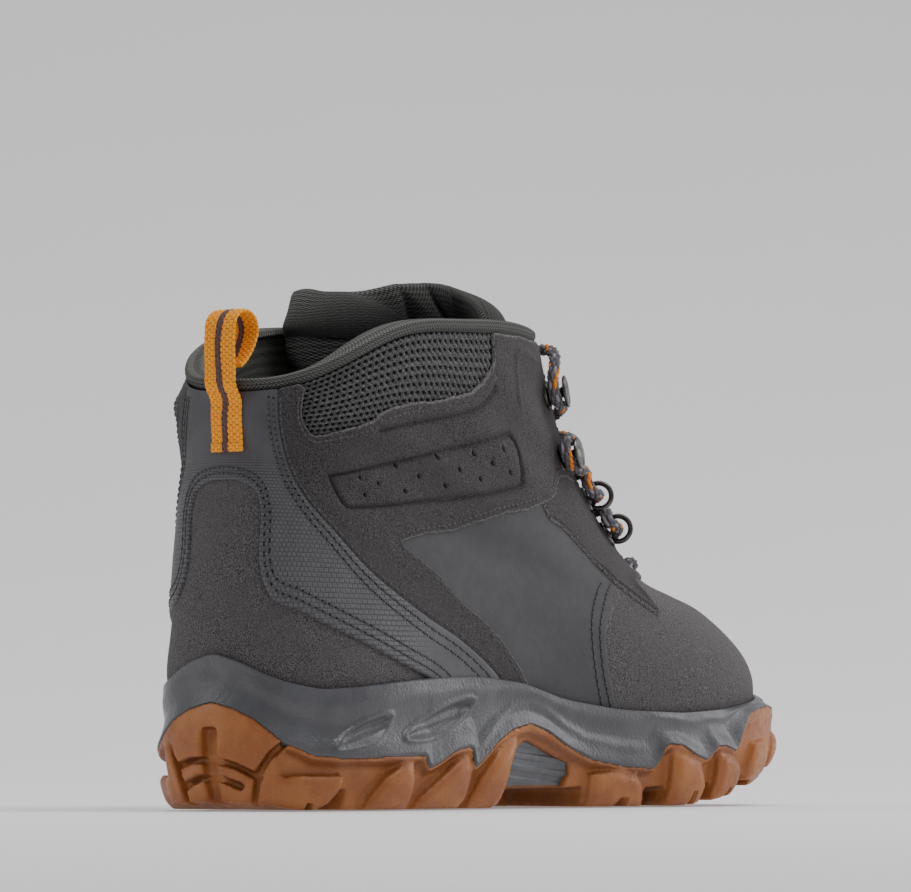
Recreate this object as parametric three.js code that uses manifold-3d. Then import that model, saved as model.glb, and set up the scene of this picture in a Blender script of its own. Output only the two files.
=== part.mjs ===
// Right-foot hiking boot, in millimetres, +Z up, +X from heel to toe, -Y the outer (lateral) side.
import * as THREE from 'three';
import { mergeVertices } from 'three/addons/utils/BufferGeometryUtils.js';
import Module from 'manifold-3d';

const wasm = await Module();
wasm.setup();

// ---- driving dimensions -------------------------------------------------------------------
const SOLE_LENGTH = 302;
const GAP = 0.5;                // clearance between neighbouring pieces
const SKIN = 2.0;               // thickness of the outer panels
const COLUMNS = 48;             // steps around the boot
const ROWS = 14;                // steps from the sole to the rim
const HALF = 8;                 // control stations from the heel to the toe
const WEB_LOW = 7.5;            // underside of the outsole between its lugs
const WEB_TOP = 16.6;           // top of the outsole's flat web
const WALL = 1.8;               // thickness of the outsole's upturned rim
const BOARD_LOW = 24.6;         // underside of the lasting board

// ---- the upper's surface: a bicubic B-spline through nine loops ----------------------------
// Each loop: back [x, z], front [x, z], half widths at seven stations, lateral and then medial.
const LOOPS = [
  [[12, 24], [287, 26], [22, 33, 35, 38, 46, 43, 26], [24, 34, 33, 35, 44, 40, 26]],
  [[5, 40], [293, 40], [26, 38, 39, 42, 49, 46, 29], [29, 39, 37, 39, 47, 43, 29]],
  [[4, 58], [290, 56], [25, 37, 39, 42, 47, 42, 25], [28, 39, 38, 40, 45, 40, 25]],
  [[6, 78], [271, 71], [23, 34, 37, 39, 41, 32, 18], [27, 38, 38, 38, 39, 31, 18]],
  [[8, 96], [246, 78], [21, 32, 35, 37, 37, 28, 15], [26, 37, 37, 37, 36, 28, 15]],
  [[9, 110], [218, 94], [20, 31, 35, 37, 35, 27, 15], [24, 35, 37, 37, 34, 27, 15]],
  [[9, 121], [196, 115], [21, 33, 37, 38, 35, 27, 15], [23, 35, 38, 38, 34, 27, 15]],
  [[8, 131], [178, 138], [22, 35, 39, 39, 36, 29, 16], [22, 36, 40, 39, 35, 29, 16]],
  [[8, 140], [167, 162], [21, 35, 40, 40, 37, 30, 17], [19, 33, 40, 40, 36, 30, 17]],
];
// How far the rim stands above a straight line from its back to its front, per station.
const RISE_LATERAL = [0, 0, 6, 13, 12, 9, 4.5, 1.5, 0];
const RISE_MEDIAL = [0, 2, 8, 13, 12, 9, 4.5, 1.5, 0];
const RISE_FROM = 4;            // first loop that rises
const SOLE_PLAN = [[0, SOLE_LENGTH], [29, 41, 42, 44, 53, 51, 33], [31, 42, 39, 40, 51, 48, 32]];

const wrap = (i) => ((i % (2 * HALF)) + 2 * HALF) % (2 * HALF);
const stationOf = (i) => (i <= HALF ? i : 2 * HALF - i);
const alongBoot = (j) => (1 - Math.cos(Math.PI * j / HALF)) / 2;
const smooth = (a, b, x) => {
  const t = Math.min(1, Math.max(0, (x - a) / (b - a)));
  return t * t * (3 - 2 * t);
};

function loopPoints([back, front, lateral, medial], level) {
  const lift = Math.max(0, (level - RISE_FROM) / (LOOPS.length - 1 - RISE_FROM)) ** 2;
  return Array.from({ length: 2 * HALF }, (_, i) => {
    const j = stationOf(i);
    const s = alongBoot(j);
    const widths = [0, ...(i < HALF ? lateral : medial), 0];
    const rise = (i < HALF ? RISE_LATERAL : RISE_MEDIAL)[j] * lift;
    return new THREE.Vector3(
      back[0] + (front[0] - back[0]) * s,
      (i < HALF ? -1 : 1) * widths[j],
      back[1] + (front[1] - back[1]) * s + rise);
  });
}

// Average of three neighbours in the ratio 1:4:1, the value of a cubic B-spline at its knot.
const knot = (a, b, c) => a.clone().add(c).addScaledVector(b, 4).divideScalar(6);

function padded(net) {
  const mirror = (a, b) => a.map((p, i) => p.clone().multiplyScalar(2).sub(b[i]));
  return [mirror(net[0], net[1]), ...net, mirror(net.at(-1), net.at(-2))];
}

function fitNet(data, closedOnly) {
  const net = data.map((row) => row.map((p) => p.clone()));
  for (let pass = 0; pass < 8; pass += 1) {
    const around = net.map((row) => row.map((p, i) => knot(row[wrap(i - 1)], p, row[wrap(i + 1)])));
    const rows = closedOnly ? [around[0], ...around, around.at(-1)] : padded(around);
    net.forEach((row, k) => row.forEach((p, i) => {
      const value = closedOnly ? around[k][i] : knot(rows[k][i], rows[k + 1][i], rows[k + 2][i]);
      p.add(data[k][i]).sub(value);
    }));
  }
  return net;
}

const basis = (t) => [(1 - t) ** 3, 3 * t ** 3 - 6 * t * t + 4, -3 * t ** 3 + 3 * t * t + 3 * t + 1, t ** 3]
  .map((b) => b / 6);

const upperNet = padded(fitNet(LOOPS.map(loopPoints), false));
const planLoop = fitNet([Array.from({ length: 2 * HALF }, (_, i) => {
  const [ends, lateral, medial] = SOLE_PLAN;
  const widths = [0, ...(i < HALF ? lateral : medial), 0];
  const j = stationOf(i);
  return new THREE.Vector3(ends[0] + (ends[1] - ends[0]) * alongBoot(j), (i < HALF ? -1 : 1) * widths[j], 0);
})], true)[0];

// u runs from 0 at the back over the lateral side to 1 at the toe, and on to 2 over the medial side.
// v runs from 0 at the sole to 1 at the rim.
function upper(u, v) {
  const a = ((u % 2) + 2) % 2 * HALF;
  const b = Math.min(1, Math.max(0, v)) * (LOOPS.length - 1);
  const ia = Math.floor(a);
  const ib = Math.min(LOOPS.length - 2, Math.floor(b));
  const wa = basis(a - ia);
  const wb = basis(b - ib);
  const p = new THREE.Vector3();
  for (let m = 0; m < 4; m += 1) {
    for (let n = 0; n < 4; n += 1) p.addScaledVector(upperNet[ib + m][wrap(ia + n - 1)], wb[m] * wa[n]);
  }
  return p;
}

function frameAt(u, v) {
  const d = 1e-3;
  const along = upper(u + d, v).sub(upper(u - d, v)).normalize();
  const rise = upper(u, Math.min(1, v + d)).sub(upper(u, Math.max(0, v - d))).normalize();
  const out = along.clone().cross(rise).normalize();
  return { along, rise: out.clone().cross(along), out };
}

const offset = (u, v, w) => upper(u, v).addScaledVector(frameAt(u, v).out, w);

function levelAt(u, z) {
  let low = 0;
  let high = 1;
  for (let i = 0; i < 20; i += 1) {
    const mid = (low + high) / 2;
    if (upper(u, mid).z < z) low = mid;
    else high = mid;
  }
  return (low + high) / 2;
}

function planAt(u, inset) {
  const at = (t) => {
    const a = ((t % 2) + 2) % 2 * HALF;
    const i = Math.floor(a);
    const p = new THREE.Vector3();
    basis(a - i).forEach((weight, k) => p.addScaledVector(planLoop[wrap(i + k - 1)], weight));
    return p;
  };
  const t = at(u + 1e-3).sub(at(u - 1e-3)).normalize();
  return at(u).add(new THREE.Vector3(t.y, -t.x, 0).multiplyScalar(-inset));
}

// ---- sole levels around the boot, as [u, z] from the heel to the toe -----------------------
const GUM_EDGE = [[0, 36], [0.034, 34], [0.066, 30.4], [0.107, 22.6], [0.15, 18.2], [0.25, 17.6], [0.3, 18.2],
  [0.372, 20.4], [0.4, 20.6], [0.426, 27.2], [0.449, 29.2], [0.468, 26.8], [0.516, 17.6], [0.58, 17.4],
  [0.601, 22.4], [0.64, 17.6], [0.668, 21.2], [0.695, 19.4], [0.72, 33.2], [0.78, 30], [0.9, 33], [1, 34]];
const CUP_EDGE = [[0, 52], [0.043, 49], [0.078, 45], [0.113, 42], [0.158, 40], [0.215, 41], [0.32, 44],
  [0.378, 45], [0.44, 43], [0.49, 37.5], [0.557, 34], [0.635, 33], [0.703, 34.5], [0.77, 37], [0.9, 41], [1, 42]];

function levelFrom(table, u) {
  const a = u > 1 ? 2 - u : u;
  const k = Math.max(1, table.findIndex(([at]) => at >= a - 1e-9));
  const [[u0, z0], [u1, z1]] = [table[k - 1], table[k]];
  return z0 + (z1 - z0) * (a - u0) / (u1 - u0);
}

// Heel and toe lift off the ground; the lift fades out up the side.
const LIFT_TOP = 24;
function spring(x, z) {
  const toe = 9.5 * smooth(205, 330, x) * 2;
  const heel = 3.2 * (1 - smooth(0, 20, x));
  return (toe + heel) * Math.max(0, 1 - Math.max(0, z) / LIFT_TOP);
}

function lifted(geometry) {
  const p = geometry.attributes.position;
  for (let i = 0; i < p.count; i += 1) p.setZ(i, p.getZ(i) + spring(p.getX(i), p.getZ(i)));
  return geometry;
}

// ---- closed solids -----------------------------------------------------------------------
function indexed(points, faces) {
  const geometry = new THREE.BufferGeometry();
  geometry.setAttribute('position', new THREE.Float32BufferAttribute(points.flatMap((p) => [p.x, p.y, p.z]), 3));
  geometry.setIndex(faces.flat());
  return geometry;
}

// A body from closed rings, each joined to the next; its two ends close on a centre point each.
function ringBody(rings, firstCentre, lastCentre) {
  const n = rings[0].length;
  const points = [...rings.flat(), firstCentre, lastCentre];
  const first = rings.length * n;
  const faces = [];
  for (let i = 0; i < n; i += 1) {
    const j = (i + 1) % n;
    faces.push([first, j, i], [first + 1, (rings.length - 1) * n + i, (rings.length - 1) * n + j]);
    for (let k = 0; k + 1 < rings.length; k += 1) {
      const a = k * n;
      const b = a + n;
      faces.push([a + i, a + j, b + j], [a + i, b + j, b + i]);
    }
  }
  return outward(indexed(points, faces));
}

// A hollow band from closed rings, the last ring joined back to the first.
function bandBody(rings) {
  const n = rings[0].length;
  const faces = [];
  rings.forEach((_, k) => {
    const a = k * n;
    const b = ((k + 1) % rings.length) * n;
    for (let i = 0; i < n; i += 1) {
      const j = (i + 1) % n;
      faces.push([a + i, a + j, b + j], [a + i, b + j, b + i]);
    }
  });
  return outward(indexed(rings.flat(), faces));
}

function volumeOf(geometry) {
  const p = geometry.attributes.position;
  const index = geometry.index.array;
  const corner = (k) => new THREE.Vector3().fromBufferAttribute(p, index[k]);
  let six = 0;
  for (let k = 0; k < index.length; k += 3) six += corner(k).dot(corner(k + 1).cross(corner(k + 2)));
  return six / 6;
}

function outward(geometry) {
  if (volumeOf(geometry) < 0) {
    const index = geometry.index.array;
    for (let k = 0; k < index.length; k += 3) [index[k], index[k + 1]] = [index[k + 1], index[k]];
  }
  return geometry;
}

function toSolid(geometry) {
  const bare = geometry.index ? geometry : geometry.clone();
  bare.deleteAttribute('normal');
  bare.deleteAttribute('uv');
  const merged = mergeVertices(bare, 1e-4);
  return new wasm.Manifold(new wasm.Mesh({
    numProp: 3,
    vertProperties: new Float32Array(merged.attributes.position.array),
    triVerts: new Uint32Array(merged.index.array),
  }));
}

function toGeometry(solid) {
  const mesh = solid.getMesh();
  const geometry = new THREE.BufferGeometry();
  const points = [];
  for (let i = 0; i < mesh.vertProperties.length; i += mesh.numProp) {
    points.push(...mesh.vertProperties.slice(i, i + 3));
  }
  geometry.setAttribute('position', new THREE.Float32BufferAttribute(points, 3));
  geometry.setIndex([...mesh.triVerts]);
  return geometry;
}

const joined = (...geometries) => toGeometry(geometries.map(toSolid).reduce((a, b) => a.add(b)));

function mapped(geometry, place) {
  const p = geometry.attributes.position;
  for (let i = 0; i < p.count; i += 1) {
    const q = place(p.getX(i), p.getY(i), p.getZ(i));
    p.setXYZ(i, q.x, q.y, q.z);
  }
  return geometry;
}

// A slab in (u, v, depth), with its grid lines shared by every layer of the upper.
function slab([u0, u1], [v0, v1], [w0, w1]) {
  const nu = Math.round((u1 - u0) * COLUMNS / 2);
  const nv = Math.round((v1 - v0) * ROWS);
  return new THREE.BoxGeometry(u1 - u0, v1 - v0, w1 - w0, nu, nv, 1)
    .translate((u0 + u1) / 2, (v0 + v1) / 2, (w0 + w1) / 2);
}

const outlineShape = (points) => new THREE.Shape(points.map(([u, v]) => new THREE.Vector2(u, v)));

function prism(points, w0, w1) {
  const geometry = new THREE.ExtrudeGeometry(outlineShape(points), { depth: w1 - w0, bevelEnabled: false });
  return geometry.translate(0, 0, w0);
}

// The same outline, moved outward by a distance in millimetres.
const U_SCALE = 290;
const V_SCALE = 118;
function grown(points, by) {
  const scaled = points.map(([u, v]) => new THREE.Vector2(u * U_SCALE, v * V_SCALE));
  const turn = Math.sign(THREE.ShapeUtils.area(scaled));
  return scaled.map((p, i) => {
    const before = p.clone().sub(scaled.at(i - 1)).normalize();
    const after = scaled[(i + 1) % scaled.length].clone().sub(p).normalize();
    const normal = new THREE.Vector2(before.y + after.y, -before.x - after.x).multiplyScalar(turn).normalize();
    const stretch = Math.max(0.5, normal.dot(new THREE.Vector2(after.y, -after.x).multiplyScalar(turn)));
    return p.clone().addScaledVector(normal, by / stretch);
  }).map((p) => [p.x / U_SCALE, p.y / V_SCALE]);
}

// ---- outlines of the upper's panels, as [u, v] --------------------------------------------
const mirrored = (points) => points.map(([u, v]) => [-u, v]).reverse();
const acrossToe = (points) => points.map(([u, v]) => [2 - u, v]).reverse();
const toMedial = (points) => points.map(([u, v]) => [2 - u, v]).reverse();

const HEEL_CUP_HALF = [[0, 0.638], [0.043, 0.628], [0.07, 0.595], [0.078, 0.535], [0.075, 0.41],
  [0.088, 0.345], [0.135, 0.312], [0.2, 0.265], [0.278, 0.2], [0.34, 0.13], [0.37, 0]];
const STRIP_REAR = [[0.113, 1], [0.108, 0.865], [0.113, 0.772], [0.13, 0.662], [0.16, 0.562], [0.2, 0.482],
  [0.25, 0.385], [0.323, 0.29], [0.365, 0.242], [0.41, 0.155], [0.45, 0]];
const STRIP_FRONT = [[0.475, 0], [0.445, 0.158], [0.41, 0.278], [0.378, 0.338], [0.348, 0.413], [0.307, 0.485]];
const ANKLE_LOW = [[0.35, 0.517], [0.403, 0.545], [0.485, 0.605], [0.588, 0.657], [0.65, 0.695], [0.69, 0.735]];
const THROAT = [[0.93, 0.512], [0.885, 0.535], [0.868, 0.57], [0.858, 0.64], [0.848, 0.72], [0.838, 0.8],
  [0.828, 0.9], [0.82, 1]];
const QUARTER_TOP = [[0.307, 0.485], [0.33, 0.503], [0.4, 0.535], [0.52, 0.595], [0.6, 0.623], [0.623, 0.61],
  [0.633, 0.565], [0.633, 0.492], [0.625, 0.443]];
const QUARTER_FRONT = [[0.588, 0.37], [0.547, 0.265], [0.543, 0.182], [0.557, 0.068], [0.57, 0]];
const MESH_LOW = [[0.165, 1], [0.155, 0.85], [0.172, 0.79], [0.235, 0.805], [0.29, 0.823], [0.318, 0.843],
  [0.438, 0.863], [0.535, 0.902], [0.578, 0.948], [0.58, 1]];
const EYESTAY_TIP = [[0.632, 0.37], [0.649, 0.323], [0.671, 0.42], [0.75, 0.505], [0.85, 0.53]];

const heelCup = [...HEEL_CUP_HALF, ...mirrored(HEEL_CUP_HALF.slice(1))];
const heelOverlay = [...STRIP_REAR, ...mirrored(STRIP_REAR)];
const anklePanel = [...STRIP_REAR, ...STRIP_FRONT, ...ANKLE_LOW, [0.8, 0.745], ...THROAT.slice(5)];
const eyestay = [[0.81, 0.78], [0.66, 0.74], [0.6, 0.7], ...QUARTER_TOP.slice(4), ...EYESTAY_TIP, ...THROAT.slice(1, 6)];
const quarter = [...STRIP_FRONT, [0.4, 0.62], [0.6, 0.69], ...QUARTER_TOP.slice(5), ...QUARTER_FRONT];
const vampHalf = [...QUARTER_FRONT.slice().reverse(), [0.61, 0.48], [0.85, 0.6], ...THROAT.slice(0, 3).reverse()];
const vamp = [...vampHalf, [1, 0.5], ...acrossToe(vampHalf)];

const EYELET_AT = [0.898, 0.555];
const HOLE_U = 3.1 / 150;
const HOLE_V = 3.1 / 105;
const eyeletHole = Array.from({ length: 12 }, (_, i) => [
  EYELET_AT[0] + HOLE_U * Math.cos(i * Math.PI / 6), EYELET_AT[1] + HOLE_V * Math.sin(i * Math.PI / 6)]);

// A panel of the upper: its outline, less the outlines of the panels that lie over it.
function panel(outline, over, spanU, holes = []) {
  const depth = [-SKIN, 0];
  let solid = toSolid(slab(spanU, [0, 1], depth)).intersect(toSolid(prism(outline, -SKIN - 1, 1)));
  over.forEach((cut) => {
    solid = solid.subtract(toSolid(prism(grown(cut, GAP), -SKIN - 1, 1)));
  });
  holes.forEach((hole) => {
    solid = solid.subtract(toSolid(prism(hole, -SKIN - 1, 1)));
  });
  const largest = solid.decompose().sort((a, b) => b.volume() - a.volume())[0];
  return mapped(toGeometry(largest), offset);
}

const sides = [
  { name: 'lateral', at: (points) => points, span: ([a, b]) => [a, b] },
  { name: 'medial', at: toMedial, span: ([a, b]) => [2 - b, 2 - a] },
];

// ---- materials ---------------------------------------------------------------------------
const finish = (color, roughness, metalness = 0) =>
  () => new THREE.MeshStandardMaterial({ color, roughness, metalness });
const suede = finish(0x57555a, 0.95);
const leather = finish(0x4a4a4d, 0.6);
const knit = finish(0x3c403d, 0.9);
const mesh = finish(0x333336, 0.9);
const gum = finish(0xb0703c, 0.6);
const foam = finish(0x55555a, 0.5);
const metal = finish(0x6b6a64, 0.35, 0.9);
const webbing = finish(0xe08a2a, 0.8);
const cord = finish(0x77747c, 0.85);
const board = finish(0x8c8468, 0.9);

const boot = new THREE.Group();
function add(name, geometry, material) {
  const part = new THREE.Mesh(geometry, material());
  part.name = name;
  boot.add(part);
  return part;
}

// ---- sole --------------------------------------------------------------------------------
const around = (f) => Array.from({ length: COLUMNS }, (_, i) => f(2 * i / COLUMNS));
const CENTRE_X = 150;
const centre = (z) => new THREE.Vector3(CENTRE_X, 0, z);
const flare = (z) => 4 * ((z - 22) / 22) ** 2;
const soleAt = (u, z, inset) => planAt(u, inset + flare(z)).setZ(z);

// Through cuts across the tread, as [x at the edge, width, how far the cut runs back to its middle].
const TREAD_CUTS = [[31, 9, -8], [62, 4, -10], [93.5, 3.5, -8], [197, 11, 8], [226, 9, 8], [250, 8, 8], [272, 6, 6]];
const ARCH = [[111, -2], [119, 14], [128, 22.6], [134, 22.6], [150, 15], [153, 11], [158, -2]];
const CHANNEL_WIDTH = 9;

function treadCut([x, width, shear]) {
  const side = 70;
  const plan = [[x, -side], [x + width, -side], [x + width + shear, 0], [x + width, side], [x, side], [x + shear, 0]];
  return prism(plan, -2, WEB_LOW);
}

function archCut(grow) {
  const outline = ARCH.map(([x, z]) => [134 + (x - 134) * (1 - grow / 24), z - (z > 0 ? grow : 0)]);
  return prism(outline, -80, 80).rotateX(Math.PI / 2);
}

function outsole() {
  const low = around((u) => soleAt(u, 0, 1.5));
  const lowEdge = around((u) => soleAt(u, 2, 0));
  const side = around((u) => soleAt(u, (2 + levelFrom(GUM_EDGE, u)) / 2, 0));
  const rimOut = around((u) => soleAt(u, levelFrom(GUM_EDGE, u), 0));
  const rimIn = around((u) => soleAt(u, levelFrom(GUM_EDGE, u), 0).lerp(soleAt(u, levelFrom(GUM_EDGE, u), WALL), 1));
  const floor = around((u) => soleAt(u, WEB_TOP, WALL + flare(levelFrom(GUM_EDGE, u)) * 0.3));
  let solid = toSolid(ringBody([low, lowEdge, side, rimOut, rimIn, floor], centre(0), centre(WEB_TOP)));
  TREAD_CUTS.forEach((cut) => {
    solid = solid.subtract(toSolid(treadCut(cut)));
  });
  solid = solid.subtract(toSolid(archCut(0)));
  const channel = new THREE.BoxGeometry(74, CHANNEL_WIDTH, WEB_LOW + 2, 1, 1, 1).translate(62, 0, (WEB_LOW - 2) / 2);
  solid = solid.subtract(toSolid(channel));
  return lifted(toGeometry(solid));
}

function midsole() {
  const gumTop = (u) => levelFrom(GUM_EDGE, u) + GAP;
  const top = (u) => levelFrom(CUP_EDGE, u);
  const outer = (f) => around((u) => {
    const z = gumTop(u) + (top(u) - gumTop(u)) * f;
    const edge = offset(u, levelAt(u, Math.max(z, 24.2)), 2.4);
    edge.z = z;
    return soleAt(u, z, 0.1).lerp(edge, f * f);
  });
  const inner = (f) => around((u) => {
    const level = levelAt(u, top(u)) * (1 - f);
    return offset(u, level, GAP + 0.2);
  });
  const inset = (u) => WALL + GAP + flare(levelFrom(GUM_EDGE, u)) * 0.3;
  const rings = [
    around((u) => soleAt(u, WEB_TOP + GAP, inset(u) + 0.4)),
    around((u) => soleAt(u, gumTop(u), WALL + GAP)),
    outer(0), outer(0.3), outer(0.6), outer(0.85), outer(1),
    inner(0), inner(0.25), inner(0.5), inner(0.75), inner(1),
    around((u) => offset(u, 0, -1.5).setZ(23.4)),
  ];
  return lifted(ringBody(rings, centre(WEB_TOP + GAP), centre(23.4)));
}

// Ribbed stiffening plate that bridges the arch, seen through the gap in the tread.
function archPlate() {
  const block = new THREE.BoxGeometry(26, 62, 11, 1, 1, 1).translate(135, 0, 9.5);
  let solid = toSolid(block).intersect(toSolid(archCut(1)));
  for (let y = -24; y <= 24; y += 8) {
    solid = solid.subtract(toSolid(new THREE.BoxGeometry(40, 2, 3, 1, 1, 1).translate(135, y, 4)));
  }
  return toGeometry(solid);
}

function insoleLayer(low, high, inset) {
  const loop = (z) => around((u) => offset(u, 0.02, -inset).setZ(z));
  return ringBody([loop(low), loop(high)], centre(low), centre(high));
}

// ---- inside of the upper ------------------------------------------------------------------
const INNER = { stiffener: [-SKIN - 2, -SKIN - 1.1], lining: 1.4 };
const folded = (u) => (u > 1 ? 2 - u : Math.abs(u));
function collarDepth(u, v) {
  return 5.3 * smooth(0.7, 0.84, v) * (1 - smooth(0.5, 0.64, folded(u)));
}
const liningOut = (u, v) => -SKIN - 2.8 - collarDepth(u, v);

function throatCutter() {
  const halfWidths = [[60, 0], [76, 12], [84, 21], [92, 24], [128, 26], [172, 30]];
  const outline = [...halfWidths.map(([z, y]) => [y, z]), ...halfWidths.slice(1).reverse().map(([z, y]) => [-y, z])];
  const cutter = prism(outline, 0, 180);
  return mapped(cutter, (y, z, x) => new THREE.Vector3(x + 130, y, z));
}

function lining() {
  const levels = Array.from({ length: ROWS }, (_, k) => (k + 0.5) / ROWS);
  const skin = (depth) => (v) => around((u) => offset(u, v, liningOut(u, v) - depth));
  const rings = [...levels.map(skin(0)), ...levels.slice().reverse().map(skin(INNER.lining))];
  return toGeometry(toSolid(bandBody(rings)).subtract(toSolid(throatCutter())));
}

function stiffener(spanU, spanV) {
  return mapped(slab(spanU, spanV, INNER.stiffener), offset);
}

function collarPadding() {
  const pad = slab([-0.5, 0.5], [11 / ROWS, 13 / ROWS], [0, 1]);
  return mapped(pad, (u, v, w) => {
    const outerFace = -SKIN - 0.9;
    const innerFace = liningOut(u, v) + 0.8;
    return offset(u, v, innerFace + (outerFace - innerFace) * w);
  });
}

// Rolled knit edge that runs along the rim from one eyestay to the other.
function collarBinding() {
  const steps = 44;
  const reach = 0.79;
  const section = Array.from({ length: 8 }, (_, i) => [Math.cos(i * Math.PI / 4), Math.sin(i * Math.PI / 4)]);
  const at = (u) => {
    const { out } = frameAt(u, 1);
    const half = 2.2 + 0.6 * collarDepth(u, 1);
    const middle = upper(u, 1).addScaledVector(out.clone().setZ(0).normalize(), 0.3 - half);
    middle.z += 3.4;
    return { middle, out: out.clone().setZ(0).normalize(), half };
  };
  const ring = (u) => {
    const { middle, out, half } = at(u);
    return section.map(([a, b]) => middle.clone().addScaledVector(out, a * half).add(new THREE.Vector3(0, 0, b * 2.8)));
  };
  const us = Array.from({ length: steps + 1 }, (_, i) => -reach + 2 * reach * i / steps);
  return ringBody(us.map(ring), at(-reach).middle, at(reach).middle);
}

// ---- tongue ------------------------------------------------------------------------------
// s runs from -1 at the lateral edge to 1 at the medial edge, t from 0 at the toe end to 1 at the top.
const TONGUE_SEAM = 0.7;
const TONGUE_LOW = 0.47;        // level on the upper where the tongue begins
const TONGUE_REACH = 0.29;      // half the tongue's width, in u

function tongueFront(s, t) {
  if (t <= TONGUE_SEAM) {
    const v = TONGUE_LOW + (1 - TONGUE_LOW) * t / TONGUE_SEAM;
    const depth = 8 + 4.5 * (1 - smooth(0.55, 0.72, v)) - 3.4 * (1 - smooth(0.15, 0.5, Math.abs(s))) * smooth(0.6, 0.75, v);
    return offset(1 + TONGUE_REACH * s, v, -depth);
  }
  const seam = tongueFront(s, TONGUE_SEAM);
  const top = new THREE.Vector3(141 - 21.5 * s - 31.5 * s * s, 5 + 27 * s - 4 * s * s, 187 - 16.5 * s * s + 0.5 * s);
  const f = (t - TONGUE_SEAM) / (1 - TONGUE_SEAM);
  const bulge = 3.2 * Math.sin(Math.PI * f);
  return seam.lerp(top, f).add(new THREE.Vector3(bulge, 0, bulge * 0.3));
}

function tonguePoint(s, t, w) {
  const d = 1e-3;
  const base = tongueFront(s, t);
  const reach = 0.03;
  const up = tongueFront(s, Math.min(1, t + reach)).sub(tongueFront(s, Math.max(0, t - reach)));
  const out = tongueFront(s + d, t).sub(tongueFront(s - d, t)).cross(up).normalize();
  const thickness = 3 + 3.5 * smooth(0.25, 0.8, t) * (1 - 0.5 * s ** 4);
  return base.addScaledVector(out, -w * thickness);
}

function tonguePiece(t0, t1, rows) {
  const box = new THREE.BoxGeometry(2, t1 - t0, 1, 12, rows, 1).translate(0, (t0 + t1) / 2, 0.5);
  return outward(mergedGrid(mapped(box, tonguePoint)));
}

function mergedGrid(geometry) {
  geometry.deleteAttribute('normal');
  geometry.deleteAttribute('uv');
  return mergeVertices(geometry, 1e-4);
}

// ---- pull loop ---------------------------------------------------------------------------
const TAB = { width: 13, thick: 1.6, low: 119, rim: 141, top: 169, x: 3.4, depth: 13.4 };

function strap(outline, holes = []) {
  const shape = outlineShape(outline);
  holes.forEach((hole) => shape.holes.push(new THREE.Path(hole.map(([x, z]) => new THREE.Vector2(x, z)))));
  const geometry = new THREE.ExtrudeGeometry(shape, { depth: TAB.width, bevelEnabled: false });
  return outward(mergedGrid(geometry.rotateX(Math.PI / 2).translate(0, TAB.width / 2, 0)));
}

// Teardrop of webbing, drawn in the boot's middle plane.
function loopOutline(inset) {
  const turns = 14;
  const centreX = TAB.x + TAB.depth / 2;
  const radius = TAB.depth / 2 - inset;
  const arcZ = TAB.top - TAB.depth / 2;
  const arc = Array.from({ length: turns + 1 }, (_, i) => {
    const a = Math.PI * i / turns;
    return [centreX + radius * Math.cos(a), arcZ + radius * Math.sin(a)];
  });
  const foot = TAB.rim + 6.6 + inset * 1.6;
  return [[TAB.x + 6 - inset * 0.5, foot], ...arc, [TAB.x + 0.4 + inset, foot]];
}

function pullLoop() {
  return strap(loopOutline(0), [loopOutline(TAB.thick)]);
}

function pullTabAnchor() {
  const out = (z, w) => offset(0, levelAt(0, z), w);
  const rows = [TAB.low, 124, 129, 134, 138.5].map((z) => [out(z, 0.4), out(z, 0.4 + TAB.thick)]);
  const outline = [...rows.map(([a]) => [a.x, a.z]), ...rows.reverse().map(([, b]) => [b.x, b.z])];
  return strap(outline);
}

// ---- metal hardware and lace ---------------------------------------------------------------
function placed(geometry, u, v, w) {
  const { along, rise, out } = frameAt(u, v);
  const matrix = new THREE.Matrix4().makeBasis(along, rise, out).setPosition(offset(u, v, w));
  return geometry.applyMatrix4(matrix);
}

const disc = (radius, height, sides = 16) =>
  new THREE.CylinderGeometry(radius, radius, height, sides).rotateX(Math.PI / 2).translate(0, 0, height / 2);

function hook() {
  const base = disc(5, 1);
  const neck = disc(1.5, 7.4, 10).translate(0, 0, 0.5);
  const cap = disc(5.8, 1.2).translate(0, 0, 7.2);
  return joined(base, neck, cap);
}

function lacingRing(toThroat) {
  const plate = new THREE.BoxGeometry(8, 10, 1.2).translate(-toThroat * 2, 0, 0.6);
  const ring = new THREE.TorusGeometry(4.6, 0.9, 8, 16).rotateY(Math.PI / 2).translate(toThroat * 1.5, 0, 4.4);
  return joined(plate, ring);
}

function washer() {
  const profile = [[3.1, 0], [5.2, 0], [4.9, 1], [3.4, 1.2], [3.1, 0]].map(([r, z]) => new THREE.Vector2(r, z));
  return outward(mergedGrid(new THREE.LatheGeometry(profile, 16).rotateX(Math.PI / 2)));
}

// Positions on the upper, as [u, v].
const HOOKS = { upper: [0.767, 0.905], lower: [0.735, 0.785] };
const RINGS = { upper: [0.815, 0.705], lower: [0.822, 0.632] };

// Height of a strand over the upper where the two strands cross: lying on the tongue, or over the other.
const UNDER = -1.6;
const OVER = 3.0;
const LACE_RADIUS = 2.1;
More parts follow.
